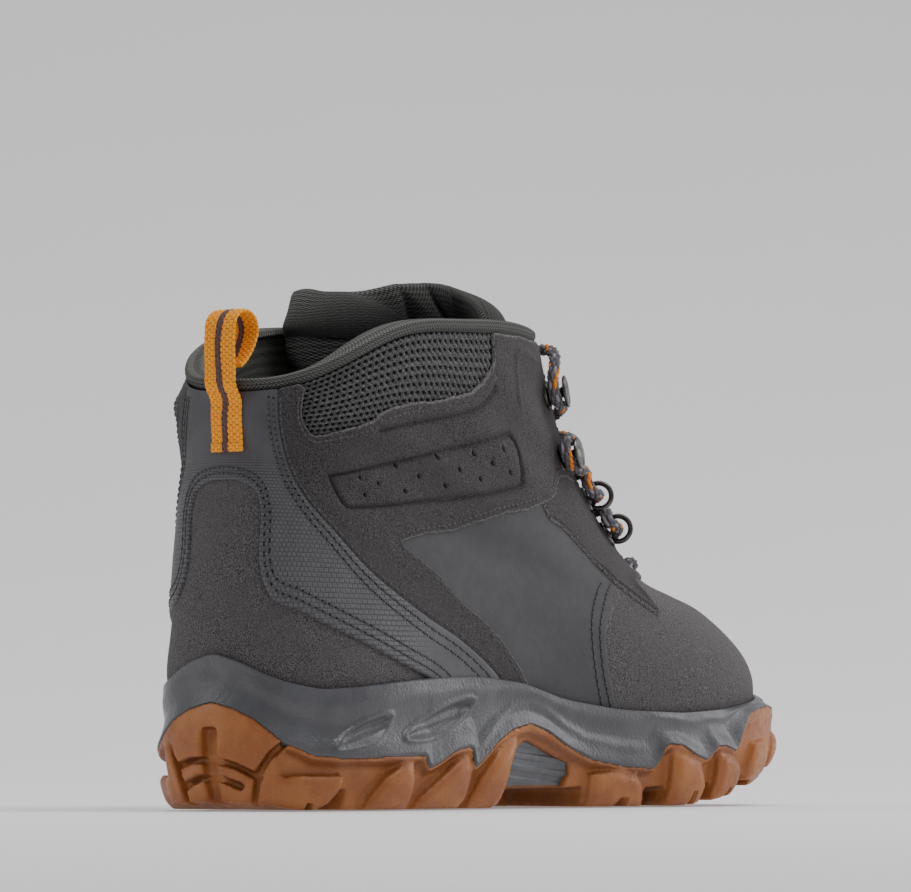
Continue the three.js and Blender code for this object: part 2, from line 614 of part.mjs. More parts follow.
// Route of one strand from the middle of the bottom bar, as [u, v, height over the upper].
const STRAND = [
  [0.955, 0.556, 4.6], [0.925, 0.556, 4.8], [0.905, 0.556, 3.4], [0.898, 0.556, 0.6], [0.898, 0.56, -3.2],
  [0.915, 0.576, -5.6], [0.955, 0.588, -4.8], [1, 0.602, 'first'], [1.07, 0.617, 2.2], [1.12, 0.627, 4.4],
  [1.15, 0.63, 5.4], [1.178, 0.632, 5.8], [1.206, 0.636, 5.8], [1.222, 0.652, 5], [1.206, 0.6665, 5.3], [1.172, 0.667, 5.3],
  [1.09, 0.679, 4.6], [1, 0.69, 'second'], [0.9, 0.702, 4.8], [0.85, 0.706, 5.8], [0.812, 0.7065, 5.9], [0.786, 0.71, 5.6],
  [0.771, 0.727, 5], [0.787, 0.745, 5], [0.83, 0.751, 5], [0.91, 0.757, 3.8], [1, 0.763, 'first'],
  [1.1, 0.763, 3.6], [1.19, 0.758, 4.8], [1.25, 0.757, 5.2], [1.284, 0.767, 5.2], [1.293, 0.785, 5.2],
  [1.284, 0.804, 5.2], [1.25, 0.813, 5.1], [1.18, 0.82, 4.8], [1.09, 0.832, 4], [1, 0.85, 'second'],
  [0.91, 0.868, 4], [0.83, 0.88, 4.7], [0.78, 0.88, 4.9], [0.748, 0.887, 5], [0.739, 0.906, 5],
  [0.748, 0.925, 5], [0.78, 0.933, 4.9], [0.86, 0.938, 4.6], [0.93, 0.946, 3.4], [1, 0.952, 'first'],
  [1.06, 0.952, 1.4], [1.11, 0.944, -1], [1.15, 0.93, -4], [1.175, 0.906, -5.1], [1.185, 0.87, -5.1],
  [1.186, 0.82, -5.1], [1.184, 0.77, -5.1],
];
const BAR_MIDDLE = [1, 0.556, 4.2];
const BELOW_TONGUE_STEP = 0.62;     // level under which the tongue lies deeper

function strand(side) {
  return STRAND.map(([u, v, w]) => {
    const over = (w === 'second') === (side === 'lateral');
    const low = v < BELOW_TONGUE_STEP ? UNDER - 3.5 : UNDER;
    const height = typeof w === 'string' ? (over ? OVER + low - UNDER : low) : w;
    return offset(side === 'lateral' ? u : 2 - u, v, height);
  });
}

const AGLET = { length: 18, radius: 1.7, level: 0.75 };

function lace() {
  const points = [...strand('lateral').reverse(), offset(...BAR_MIDDLE), ...strand('medial')];
  const path = new THREE.CatmullRomCurve3(points, false, 'centripetal');
  const section = new THREE.Shape().absarc(0, 0, LACE_RADIUS, 0, 2 * Math.PI);
  const shape = new THREE.Shape(section.getPoints(4).slice(0, -1));
  return outward(mergedGrid(new THREE.ExtrudeGeometry(shape, { steps: 170, bevelEnabled: false, extrudePath: path })));
}

// A tag on the lace's end, continuing its run under the eyestay.
function aglet(side) {
  const route = strand(side);
  const end = route.at(-1);
  const run = end.clone().sub(route.at(-2)).normalize();
  const pin = new THREE.CylinderGeometry(AGLET.radius, AGLET.radius, AGLET.length, 10);
  pin.translate(0, AGLET.length / 2 + GAP, 0);
  pin.applyQuaternion(new THREE.Quaternion().setFromUnitVectors(new THREE.Vector3(0, 1, 0), run));
  return outward(mergedGrid(pin.translate(end.x, end.y, end.z)));
}

// ---- assembly ----------------------------------------------------------------------------
const snap = (value) => Math.round(value * COLUMNS / 2) / (COLUMNS / 2);

add('outsole', outsole(), gum);
add('midsole', midsole(), foam);
add('arch_plate', archPlate(), foam);
add('lasting_board', insoleLayer(BOARD_LOW, 26.4, 7.4), board);
add('footbed', insoleLayer(27, 31.5, 8.4), knit);
add('heel_cup', panel(heelCup, [], [snap(-0.42), snap(0.42)]), suede);
const ankleBoth = [anklePanel, mirrored(anklePanel)];
add('heel_overlay', panel(heelOverlay, [heelCup, ...ankleBoth], [snap(-0.5), snap(0.5)]), leather);
sides.forEach(({ name, at, span }) => {
  const hole = at(eyeletHole);
  add(`collar_mesh_${name}`, panel(at(MESH_LOW), [], span([0.125, snap(0.62)])), mesh);
  add(`ankle_panel_${name}`, panel(at(anklePanel), [at(MESH_LOW)], span([snap(0.08), snap(0.88)])), suede);
  add(`eyestay_${name}`, panel(at(eyestay), [at(anklePanel)], span([snap(0.54), snap(0.96)])), suede);
  const over = [at(anklePanel), at(eyestay), vamp];
  add(`quarter_${name}`, panel(at(quarter), over, span([snap(0.25), snap(0.71)])), leather);
  add(`eyelet_${name}`, placed(washer(), ...at([EYELET_AT])[0], 0.7), metal);
  Object.entries(HOOKS).forEach(([level, spot]) => {
    add(`hook_${level}_${name}`, placed(hook(), ...at([spot])[0], 0.7), metal);
  });
  Object.entries(RINGS).forEach(([level, spot]) => {
    add(`lacing_ring_${level}_${name}`, placed(lacingRing(name === 'lateral' ? 1 : -1), ...at([spot])[0], 1.4), metal);
  });
  add(`aglet_${name}`, aglet(name), foam);
});
add('vamp', panel(vamp, [eyestay, toMedial(eyestay)], [snap(0.5), snap(1.5)], [eyeletHole, toMedial(eyeletHole)]), suede);
add('heel_counter', stiffener([snap(-0.2), snap(0.2)], [2 / ROWS, 8 / ROWS]), board);
add('toe_puff', stiffener([0.75, 1.25], [1 / ROWS, 5 / ROWS]), board);
add('lining', lining(), knit);
add('collar_padding', collarPadding(), foam);
add('collar_binding', collarBinding(), knit);
add('tongue_body', tonguePiece(0, TONGUE_SEAM - 0.006, 9), knit);
add('tongue_top', tonguePiece(TONGUE_SEAM + 0.006, 1, 5), knit);
add('pull_tab_anchor', pullTabAnchor(), webbing);
add('pull_loop', pullLoop(), webbing);
add('lace', lace(), cord);

// Origin: on the ground, under the middle of the footprint.
const box = new THREE.Box3().setFromObject(boot);
const middle = box.getCenter(new THREE.Vector3());
boot.position.set(-middle.x, -middle.y, -box.min.z);

export default boot;
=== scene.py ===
"""Hiking boot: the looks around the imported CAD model. Boot measures are in millimetres from the heel's back,
X to the toe, -Y the outer side, Z up, and place() turns them into metres in the frame."""
import math

import bmesh
import bpy
import numpy as np
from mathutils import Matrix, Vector, geometry


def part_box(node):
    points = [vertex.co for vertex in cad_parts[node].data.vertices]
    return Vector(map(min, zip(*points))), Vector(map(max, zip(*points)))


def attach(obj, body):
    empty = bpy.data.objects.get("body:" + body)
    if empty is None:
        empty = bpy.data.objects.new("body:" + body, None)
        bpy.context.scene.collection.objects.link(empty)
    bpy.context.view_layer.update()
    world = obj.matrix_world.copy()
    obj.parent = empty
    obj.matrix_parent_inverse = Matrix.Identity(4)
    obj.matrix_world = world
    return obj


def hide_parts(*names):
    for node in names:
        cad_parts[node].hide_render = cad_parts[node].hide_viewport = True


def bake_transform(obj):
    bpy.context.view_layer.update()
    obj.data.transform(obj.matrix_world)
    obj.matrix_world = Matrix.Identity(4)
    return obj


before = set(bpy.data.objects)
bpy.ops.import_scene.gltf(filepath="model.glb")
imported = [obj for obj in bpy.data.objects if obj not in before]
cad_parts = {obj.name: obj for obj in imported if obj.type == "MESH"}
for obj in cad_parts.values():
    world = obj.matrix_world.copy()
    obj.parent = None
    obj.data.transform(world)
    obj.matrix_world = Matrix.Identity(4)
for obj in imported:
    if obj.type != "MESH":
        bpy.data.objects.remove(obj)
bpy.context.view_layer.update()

# ---- frame ---------------------------------------------------------------------------------------
MM = 0.001
SOLE_LENGTH = 302.0
sole_low, sole_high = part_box("outsole")
HEEL_X = (sole_low.x + sole_high.x) / 2 - SOLE_LENGTH * MM / 2
EDGE_LATERAL, EDGE_MEDIAL = -54.08, 51.86       # the outsole's widest points across the boot, in mm
SIDE_Y = (sole_low.y + sole_high.y) / 2 - (EDGE_LATERAL + EDGE_MEDIAL) / 2 * MM


def place(points):
    """Boot millimetres to metres in the frame."""
    return np.asarray(points, float) * MM + np.array([HEEL_X, SIDE_Y, 0.0])


# ---- camera --------------------------------------------------------------------------------------
TURN, TILT, DISTANCE = math.radians(36.6), math.radians(-3.0), 2.0
LOOK_AT = Vector(place([138.7, 0, 127.3]))
LENS, SENSOR = 223.35, 36.0


def add_camera():
    back = Vector((-math.cos(TURN) * math.cos(TILT), -math.sin(TURN) * math.cos(TILT), math.sin(TILT)))
    camera = bpy.data.objects.new("camera", bpy.data.cameras.new("camera"))
    bpy.context.scene.collection.objects.link(camera)
    camera.location = LOOK_AT + back * DISTANCE
    camera.rotation_euler = (-back).to_track_quat("-Z", "Y").to_euler()
    camera.data.lens = LENS
    camera.data.sensor_width = SENSOR
    camera.data.clip_end = 20
    bpy.context.scene.camera = camera


# ---- the upper's surface: the same bicubic B-spline as the CAD model's -----------------------------
# Each loop: back (x, z), front (x, z), half widths at seven stations, lateral and then medial.
LOOPS = [
    ((12, 24), (287, 26), (22, 33, 35, 38, 46, 43, 26), (24, 34, 33, 35, 44, 40, 26)),
    ((5, 40), (293, 40), (26, 38, 39, 42, 49, 46, 29), (29, 39, 37, 39, 47, 43, 29)),
    ((4, 58), (290, 56), (25, 37, 39, 42, 47, 42, 25), (28, 39, 38, 40, 45, 40, 25)),
    ((6, 78), (271, 71), (23, 34, 37, 39, 41, 32, 18), (27, 38, 38, 38, 39, 31, 18)),
    ((8, 96), (246, 78), (21, 32, 35, 37, 37, 28, 15), (26, 37, 37, 37, 36, 28, 15)),
    ((9, 110), (218, 94), (20, 31, 35, 37, 35, 27, 15), (24, 35, 37, 37, 34, 27, 15)),
    ((9, 121), (196, 115), (21, 33, 37, 38, 35, 27, 15), (23, 35, 38, 38, 34, 27, 15)),
    ((8, 131), (178, 138), (22, 35, 39, 39, 36, 29, 16), (22, 36, 40, 39, 35, 29, 16)),
    ((8, 140), (167, 162), (21, 35, 40, 40, 37, 30, 17), (19, 33, 40, 40, 36, 30, 17)),
]
RISE_LATERAL = (0, 0, 6, 13, 12, 9, 4.5, 1.5, 0)
RISE_MEDIAL = (0, 2, 8, 13, 12, 9, 4.5, 1.5, 0)
SOLE_PLAN = ((29, 41, 42, 44, 53, 51, 33), (31, 42, 39, 40, 51, 48, 32))
HALF, RISE_FROM = 8, 4
LEVELS = len(LOOPS)


def station(i):
    j = i if i <= HALF else 2 * HALF - i
    return j, (1 - math.cos(math.pi * j / HALF)) / 2, -1 if i < HALF else 1


def loop_points(level):
    back, front, lateral, medial = LOOPS[level]
    lift = max(0, (level - RISE_FROM) / (LEVELS - 1 - RISE_FROM)) ** 2
    row = []
    for i in range(2 * HALF):
        j, s, side = station(i)
        width = (0, *(lateral if side < 0 else medial), 0)[j]
        rise = (RISE_LATERAL if side < 0 else RISE_MEDIAL)[j] * lift
        x, z = (a + (b - a) * s for a, b in zip(back, front))
        row.append((x, side * width, z + rise))
    return row


def fit_net(data, closed_only=False):
    """The control net whose cubic B-spline goes through the data."""
    net = data.copy()
    for _ in range(8):
        value = (np.roll(net, 1, 1) + 4 * net + np.roll(net, -1, 1)) / 6
        if not closed_only:
            tall = np.concatenate([2 * value[:1] - value[1:2], value, 2 * value[-1:] - value[-2:-1]])
            value = (tall[:-2] + 4 * tall[1:-1] + tall[2:]) / 6
        net += data - value
    return net


def basis(t):
    return np.stack([(1 - t) ** 3, 3 * t**3 - 6 * t**2 + 4, -3 * t**3 + 3 * t**2 + 3 * t + 1, t**3], -1) / 6


upper_net = fit_net(np.array([loop_points(k) for k in range(LEVELS)], float))
upper_net = np.concatenate([2 * upper_net[:1] - upper_net[1:2], upper_net,
                            2 * upper_net[-1:] - upper_net[-2:-1]])
plan_net = fit_net(np.array([[
    (SOLE_LENGTH * station(i)[1], station(i)[2] * (0, *SOLE_PLAN[0 if i < HALF else 1], 0)[station(i)[0]], 0)
    for i in range(2 * HALF)]], float), True)[0]


def upper(u, v):
    """u: 0 at the back, over the lateral side to 1 at the toe, on to 2. v: 0 at the sole, 1 at the rim."""
    u, v = np.broadcast_arrays(np.asarray(u, float), np.asarray(v, float))
    a, b = (u % 2) * HALF, np.clip(v, 0, 1) * (LEVELS - 1)
    ia = np.floor(a).astype(int)
    ib = np.minimum(np.floor(b).astype(int), LEVELS - 2)
    wa, wb = basis(a - ia), basis(b - ib)
    out = 0
    for m in range(4):
        for n in range(4):
            out = out + (wb[..., m] * wa[..., n])[..., None] * upper_net[ib + m, (ia + n - 1) % (2 * HALF)]
    return out


def unit(vectors):
    return vectors / np.maximum(np.linalg.norm(vectors, axis=-1, keepdims=True), 1e-9)


def normal(u, v, reach=1.5e-3):
    along = upper(np.add(u, reach), v) - upper(np.subtract(u, reach), v)
    rise = upper(u, np.minimum(1, np.add(v, reach))) - upper(u, np.maximum(0, np.subtract(v, reach)))
    return unit(np.cross(along, rise))


def smooth(low, high, x):
    t = np.clip((np.asarray(x, float) - low) / (high - low), 0, 1)
    return t * t * (3 - 2 * t)


def ripple(u, v):
    """Slow unevenness that every layer of the upper shares, in mm."""
    u, v = np.asarray(u), np.asarray(v)
    waves = np.sin(11 * u + 9 * v + 1) + 0.8 * np.sin(23 * u - 14 * v) + 0.6 * np.sin(31 * u + 27 * v + 2)
    return 0.22 * waves * smooth(0, 0.2, v)


def skin(u, v, w):
    return upper(u, v) + normal(u, v) * (np.asarray(w) + ripple(u, v))[..., None]


def level_at(u, z):
    """The level v at which the upper reaches the height z."""
    u, z = np.broadcast_arrays(np.asarray(u, float), np.asarray(z, float))
    low, high = np.zeros(u.shape), np.ones(u.shape)
    for _ in range(18):
        mid = (low + high) / 2
        below = upper(u, mid)[..., 2] < z
        low, high = np.where(below, mid, low), np.where(below, high, mid)
    return (low + high) / 2


def plan(u, inset=0):
    """A point of the outsole's outline, moved inward."""
    def at(t):
        a = (t % 2) * HALF
        i = np.floor(a).astype(int)
        weights = basis(a - i)
        return sum(weights[..., k][..., None] * plan_net[(i + k - 1) % (2 * HALF)] for k in range(4))
    u = np.asarray(u, float)
    run = unit(at(u + 1e-3) - at(u - 1e-3))
    out = np.stack([run[..., 1], -run[..., 0], 0 * run[..., 0]], -1)
    return at(u) - out * np.asarray(inset, float)[..., None]


# ---- mesh helpers --------------------------------------------------------------------------------
def mesh_object(name, points, faces, body, material, replaces=(), sharp=None, attributes=None, uv=None):
    """A piece from boot millimetres. attributes are values per point, uv a pair per point."""
    mesh = bpy.data.meshes.new(name)
    mesh.from_pydata(place(points).tolist(), [], [list(f) for f in faces])
    for label, values in (attributes or {}).items():
        layer = mesh.attributes.new(label, "FLOAT", "POINT")
        layer.data.foreach_set("value", np.asarray(values, np.float32))
    if uv is not None:
        corner = np.empty(len(mesh.loops), np.int32)
        mesh.loops.foreach_get("vertex_index", corner)
        layer = mesh.uv_layers.new(name="weave")
        layer.data.foreach_set("uv", np.asarray(uv, np.float32)[corner].ravel())
    mesh.validate()
    mesh.shade_smooth()
    if sharp is not None:
        mesh.set_sharp_from_angle(angle=math.radians(sharp))
    obj = bpy.data.objects.new(name, mesh)
    bpy.context.scene.collection.objects.link(obj)
    finish_piece(obj, body, material, replaces)
    return obj


def finish_piece(obj, body, material, replaces=()):
    obj.data.materials.clear()
    obj.data.materials.append(material)
    if body:
        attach(obj, body)
    if replaces:
        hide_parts(*replaces)


def ring_faces(rings, count, closed_ends=True):
    """Quads between rings of count points, in order, and fans onto two end points that follow them."""
    faces = []
    for k in range(rings - 1):
        a, b = k * count, (k + 1) * count
        faces += [(a + i, a + (i + 1) % count, b + (i + 1) % count, b + i) for i in range(count)]
    if closed_ends:
        first = rings * count
        faces += [(first, (i + 1) % count, i) for i in range(count)]
        last = (rings - 1) * count
        faces += [(first + 1, last + i, last + (i + 1) % count) for i in range(count)]
    return faces


def circle(radius, height, turns):
    return np.stack([radius * np.cos(turns), radius * np.sin(turns), 0 * turns + height], 1)


def grid_faces(rows, columns):
    at = np.arange(rows * columns).reshape(rows, columns)
    return np.stack([at[:-1, :-1], at[:-1, 1:], at[1:, 1:], at[1:, :-1]], -1).reshape(-1, 4)


def hoop_faces(rows, columns):
    """Faces of a grid that closes on itself both ways."""
    at = np.arange(rows * columns).reshape(rows, columns)
    ahead = np.roll(at, -1, 0)
    return np.stack([at, np.roll(at, -1, 1), np.roll(ahead, -1, 1), ahead], -1).reshape(-1, 4)


def border_loop(rows, columns):
    """Point numbers round a grid's rim, in the direction of its faces."""
    at = np.arange(rows * columns).reshape(rows, columns)
    return np.concatenate([at[0, :-1], at[:-1, -1], at[-1, :0:-1], at[:0:-1, 0]])


def two_faced(faces, rim, count):
    """Faces of a sheet with two sides. Its second side's points follow the count points of the first."""
    walls = [(b, a, a + count, b + count) for a, b in rim]
    return [*faces.tolist(), *(faces[:, ::-1] + count).tolist(), *walls]


def thick_sheet(front, back, flip=False):
    """Points and faces of the closed sheet between two grids of points."""
    rows, columns = front.shape[:2]
    rim = border_loop(rows, columns)
    faces = two_faced(grid_faces(rows, columns), zip(rim, np.roll(rim, -1)), rows * columns)
    if flip:
        faces = [face[::-1] for face in faces]
    return np.concatenate([front.reshape(-1, 3), back.reshape(-1, 3)]), faces


def resample(points, step):
    """The same polyline with even steps."""
    points = np.asarray(points, float)
    run = np.concatenate([[0], np.cumsum(np.linalg.norm(np.diff(points, axis=0), axis=1))])
    count = max(2, int(round(run[-1] / step)))
    at = np.linspace(0, run[-1], count + 1)
    return np.stack([np.interp(at, run, points[:, k]) for k in range(points.shape[1])], 1)


def rounded(points, closed=True, passes=3):
    """Corner cutting, which turns a few chosen points into a smooth outline."""
    points = np.asarray(points, float)
    for _ in range(passes):
        ahead = np.roll(points, -1, 0) if closed else points[1:]
        here = points if closed else points[:-1]
        cut = np.stack([here * 0.78 + ahead * 0.22, here * 0.22 + ahead * 0.78], 1)
        cut = cut.reshape(-1, points.shape[1])
        points = cut if closed else np.concatenate([points[:1], cut, points[-1:]])
    return points


def distance_to(points, line, closed=True):
    """Distance of each point to a polyline."""
    a = line
    b = np.roll(line, -1, 0) if closed else line[1:]
    a = a if closed else line[:-1]
    best = np.full(len(points), 1e9)
    for start in range(0, len(points), 2000):
        p = points[start:start + 2000, None]
        run = b - a
        t = np.clip(((p - a) * run).sum(-1) / np.maximum((run**2).sum(-1), 1e-12), 0, 1)
        gap = np.linalg.norm(p - a - t[..., None] * run, axis=-1)
        best[start:start + 2000] = gap.min(1)
    return best


def inside(points, outline):
    x, y = points[:, 0], points[:, 1]
    result = np.zeros(len(points), bool)
    for (x0, y0), (x1, y1) in zip(outline, np.roll(outline, -1, 0)):
        if y0 != y1:
            crossing = (y0 > y) != (y1 > y)
            result ^= crossing & (x < (x1 - x0) * (y - y0) / (y1 - y0) + x0)
    return result


def signed(points, outline):
    """Distance to a closed outline, positive inside."""
    gap = distance_to(points, outline)
    return np.where(inside(points, outline), gap, -gap)


# ---- panels of the upper -------------------------------------------------------------------------
U_SCALE, V_SCALE = 290.0, 118.0         # flat millimetres per unit of u and v
SHARP_CORNER, CURVE_STEP = 50, 1.3      # degrees that a corner turns to stay sharp, and mm between points
COVERED_AT = -0.12                      # height of a panel where another lies over it
EDGE_DEPTHS = (0.22, 0.5, 0.85, 1.25, 1.7, 2.2, 2.7, 3.2, 3.8, 4.5, 5.4)


def flat(points):
    return np.asarray(points, float) * (U_SCALE, V_SCALE)


def curve(points, closed=True):
    """A smooth flat line through (u, v) points, with corners kept where it turns sharply."""
    p = flat(points)
    before, after = unit(p - np.roll(p, 1, 0)), unit(np.roll(p, -1, 0) - p)
    turn = np.degrees(np.arccos(np.clip((before * after).sum(1), -1, 1)))
    sharp = turn > SHARP_CORNER
    if not closed:
        sharp[0] = sharp[-1] = True
    middle = before + after
    middle = np.where(np.linalg.norm(middle, axis=1, keepdims=True) > 1e-6, middle, after)
    middle = unit(middle)
    leave = np.where(sharp[:, None], after, middle)
    reach = np.where(sharp[:, None], before, middle)
    line = []
    for i in range(len(p) if closed else len(p) - 1):
        j = (i + 1) % len(p)
        length = np.linalg.norm(p[j] - p[i])
        t = np.linspace(0, 1, max(3, int(length / CURVE_STEP)), endpoint=False)[:, None]
        line.append((2 * t**3 - 3 * t**2 + 1) * p[i] + (t**3 - 2 * t**2 + t) * length * leave[i]
                    + (3 * t**2 - 2 * t**3) * p[j] + (t**3 - t**2) * length * reach[j])
    if not closed:
        line.append(p[-1:])
    line = np.concatenate(line)
    if not closed:
        return resample(line, CURVE_STEP)
    line = resample(np.concatenate([line, line[:1]]), CURVE_STEP)[:-1]
    for _ in range(3):
        line = (np.roll(line, 1, 0) + 2 * line + np.roll(line, -1, 0)) / 4
    return line


def inward(line):
    """Unit normals of a closed line, pointing inside."""
    run = unit(np.roll(line, -1, 0) - np.roll(line, 1, 0))
    area = 0.5 * (line[:, 0] * np.roll(line[:, 1], -1) - np.roll(line[:, 0], -1) * line[:, 1]).sum()
    return np.stack([-run[:, 1], run[:, 0]], 1) * np.sign(area)


def hex_points(low, high, step):
    xs = np.arange(low[0], high[0], step)
    ys = np.arange(low[1], high[1], step * 0.87)
    x, y = np.meshgrid(xs, ys)
    x = x + step / 2 * (np.arange(len(ys)) % 2)[:, None]
    return np.stack([x.ravel(), y.ravel()], 1)


def cover_with_triangles(line, step, depths=EDGE_DEPTHS, extra=()):
    """Points and triangles that fill a closed flat line, finer near its edge."""
    ins = inward(line)
    fine = [line + ins * d for d in depths]
    fine = [ring[distance_to(ring, line) > d - 0.06] for ring, d in zip(fine, depths)]
    near = np.concatenate([*fine, *extra])
    near = near[inside(near, line)]
    core = hex_points(line.min(0), line.max(0), step)
    core = core[signed(core, line) > depths[-1] + step * 0.4]
    points = np.concatenate([line, near, core])
    edges = [(i, (i + 1) % len(line)) for i in range(len(line))]
    made, _, faces, *_ = geometry.delaunay_2d_cdt([Vector(p) for p in points], edges, [], 0, 1e-5)
    made = np.array([tuple(p) for p in made])
    faces = np.array([f for f in faces if len(f) == 3])
    faces = faces[inside(made[faces].mean(1), line)]
    a, b, c = made[faces[:, 0]], made[faces[:, 1]], made[faces[:, 2]]
    turned = (b[:, 0] - a[:, 0]) * (c[:, 1] - a[:, 1]) - (b[:, 1] - a[:, 1]) * (c[:, 0] - a[:, 0]) < 0
    faces[turned] = faces[turned][:, ::-1]
    used = np.unique(faces)
    renumber = np.zeros(len(made), int)
    renumber[used] = np.arange(len(used))
    return made[used], renumber[faces]


def border_edges(faces):
    """Directed edges that only one triangle has."""
    pairs = np.concatenate([faces[:, [0, 1]], faces[:, [1, 2]], faces[:, [2, 0]]])
    have = set(map(tuple, pairs.tolist()))
    return [(a, b) for a, b in have if (b, a) not in have]


def panel(name, line, material, base, thick, replaces, covers=(), relief=None, step=2.4, edge=0.7,
          extra=()):
    """A sheet of the upper with a rounded edge. covers are flat outlines of the panels over it."""
    points, faces = cover_with_triangles(line, step, extra=extra)
    depth = distance_to(points, line)
    crown = np.sqrt(np.clip(1 - (1 - np.clip(depth / edge, 0, 1)) ** 2, 0, 1))
    top = base + thick * (0.3 + 0.7 * crown)
    u, v = points[:, 0] / U_SCALE, points[:, 1] / V_SCALE
    # The second value of relief darkens the recesses with painted shade.
    values = {"dent_shade": np.zeros(len(points))}
    if relief:
        lift, values["dent_shade"] = relief(points, v, depth)
        top = top + lift
    for cover in covers:
        s = smooth(-0.6, 2.4, signed(points, cover))
        top = top * (1 - s) + COVERED_AT * s
    bottom = np.minimum(base, top - 0.35)
    all_faces = two_faced(faces, border_edges(faces), len(points))
    both = np.concatenate([skin(u, v, top), skin(u, v, bottom)])
    values["depth"] = depth
    attributes = {label: np.concatenate([x, x]) for label, x in values.items()}
    return mesh_object(name, both, all_faces, "boot", material, replaces, sharp=62,
                       attributes=attributes, uv=np.concatenate([points, points]))


# ---- stitching -----------------------------------------------------------------------------------
STITCH, PITCH = 2.1, 2.9                # length of a stitch and distance between stitches, in mm


def offset_runs(line, depth, skip=()):
    """Stretches of a line moved inward by depth, without what is near an edge or under a cover."""
    moved = line + inward(line) * depth
    good = (distance_to(moved, line) > depth - 0.05) & inside(moved, line)
    for cover in skip:
        good &= signed(moved, cover) < -0.8
    return runs_of(moved, good)


def runs_of(points, good):
    if good.all():
        return [np.concatenate([points, points[:1]])]
    start = int(np.argmin(good))
    points, good = np.roll(points, -start, 0), np.roll(good, -start)
    runs, run = [], []
    for p, ok in zip(points, good):
        if ok:
            run.append(p)
        elif run:
            runs.append(np.array(run))
            run = []
    if run:
        runs.append(np.array(run))
    return [r for r in runs if len(r) > 4]


def stitch_shape():
    """Points, faces and hole discs of one stitch along +X, which dives into a hole at each end; the discs
    carry painted shade.
    """
    at = np.array([-0.5, -0.36, 0, 0.36, 0.5]) * STITCH
    size = np.array([0.2, 0.36, 0.42, 0.36, 0.2])
    height = np.array([-0.3, 0.02, 0.16, 0.02, -0.3])
    turns = np.arange(6) * math.pi / 3
    rings = np.stack([np.repeat(at, 6), (size[:, None] * np.cos(turns)).ravel(),
                      (size[:, None] * np.sin(turns) * 0.8 + height[:, None]).ravel()], 1)
    ends = np.array([[at[0] - 0.05, 0, height[0]], [at[-1] + 0.05, 0, height[-1]]])
    points, faces = [rings, ends], ring_faces(5, 6)
    start = len(rings) + 2
    for middle in (-0.62 * STITCH, 0.62 * STITCH):
        for radius, rise in ((0.5, -0.3), (0.46, 0.05)):
            points.append(circle(radius, rise, turns) + (middle, 0, 0))
        faces += [(start + i, start + (i + 1) % 6, start + 6 + (i + 1) % 6, start + 6 + i) for i in range(6)]
        faces += [tuple(range(start + 5, start - 1, -1)), tuple(range(start + 6, start + 12))]
        start += 12
    points = np.concatenate(points)
    return points, faces, (np.arange(len(points)) >= len(rings) + 2).astype(float)


def stitches(name, runs, height):
    """Stitches along flat runs, at a height over the upper."""
    shape, shape_faces, hole = stitch_shape()
    centres, aheads = [], []
    for run in runs:
        even = resample(run, PITCH)
        if len(even) < 2:
            continue
        centres.append((even[1:] + even[:-1]) / 2)
        aheads.append(even[1:] - even[:-1])
    centres, aheads = np.concatenate(centres), unit(np.concatenate(aheads)) * 0.3
    u, v = centres.T / np.array([[U_SCALE], [V_SCALE]])
    keep = (upper(u, v)[:, 2] > cup_height(u) - 1) & (v < 0.95)
    centres, aheads, u, v = centres[keep], aheads[keep], u[keep], v[keep]
    w = np.full(len(centres), height)
    ahead = (centres + aheads).T / np.array([[U_SCALE], [V_SCALE]])
    middle = skin(u, v, w)
    run = unit(skin(ahead[0], ahead[1], w) - middle)
    out = normal(u, v)
    side = np.cross(out, run)
    points = middle[:, None] + (shape[None, :, :1] * run[:, None] + shape[None, :, 1:2] * side[:, None]
                                + shape[None, :, 2:] * out[:, None])
    count = len(shape)
    faces = [[i + k * count for i in f] for k in range(len(middle)) for f in shape_faces]
    mesh_object(name, points.reshape(-1, 3), faces, "boot", THREAD,
                attributes={"hole": np.tile(hole, len(middle))})


# ---- sole levels around the boot, (u, z) from the heel to the toe -----------------------------------
CUP_EDGE = ((0, 52), (0.043, 49), (0.078, 45), (0.113, 42), (0.158, 40), (0.215, 41), (0.32, 44), (0.378, 45),
            (0.44, 43), (0.49, 37.5), (0.557, 34), (0.635, 33), (0.703, 34.5), (0.77, 37), (0.9, 41), (1, 42))


def folded(u):
    """The distance of u from the back, the same on both sides."""
    return np.abs((np.asarray(u, float) + 1) % 2 - 1)


def eased(points, blur):
    """A profile over u through the points, with its corners eased over a width of blur."""
    grid = np.linspace(-0.2, 1.2, 2801)
    values = np.interp(folded(grid), *np.array(points).T)
    window = np.hanning(int(blur / 0.0005) + 3)
    values = np.convolve(np.pad(values, len(window), "edge"), window / window.sum(), "same")
    return grid, values[len(window):-len(window)]


CUP_LINE = eased(CUP_EDGE, 0.05)


def cup_height(u):
    return np.interp(folded(u), *CUP_LINE)


# ---- materials -----------------------------------------------------------------------------------
def tint(red, green, blue):
    """A linear colour from screen values 0 to 255."""
    def linear(c):
        c /= 255
        return c / 12.92 if c <= 0.04045 else ((c + 0.055) / 1.055) ** 2.4
    return (linear(red), linear(green), linear(blue), 1)


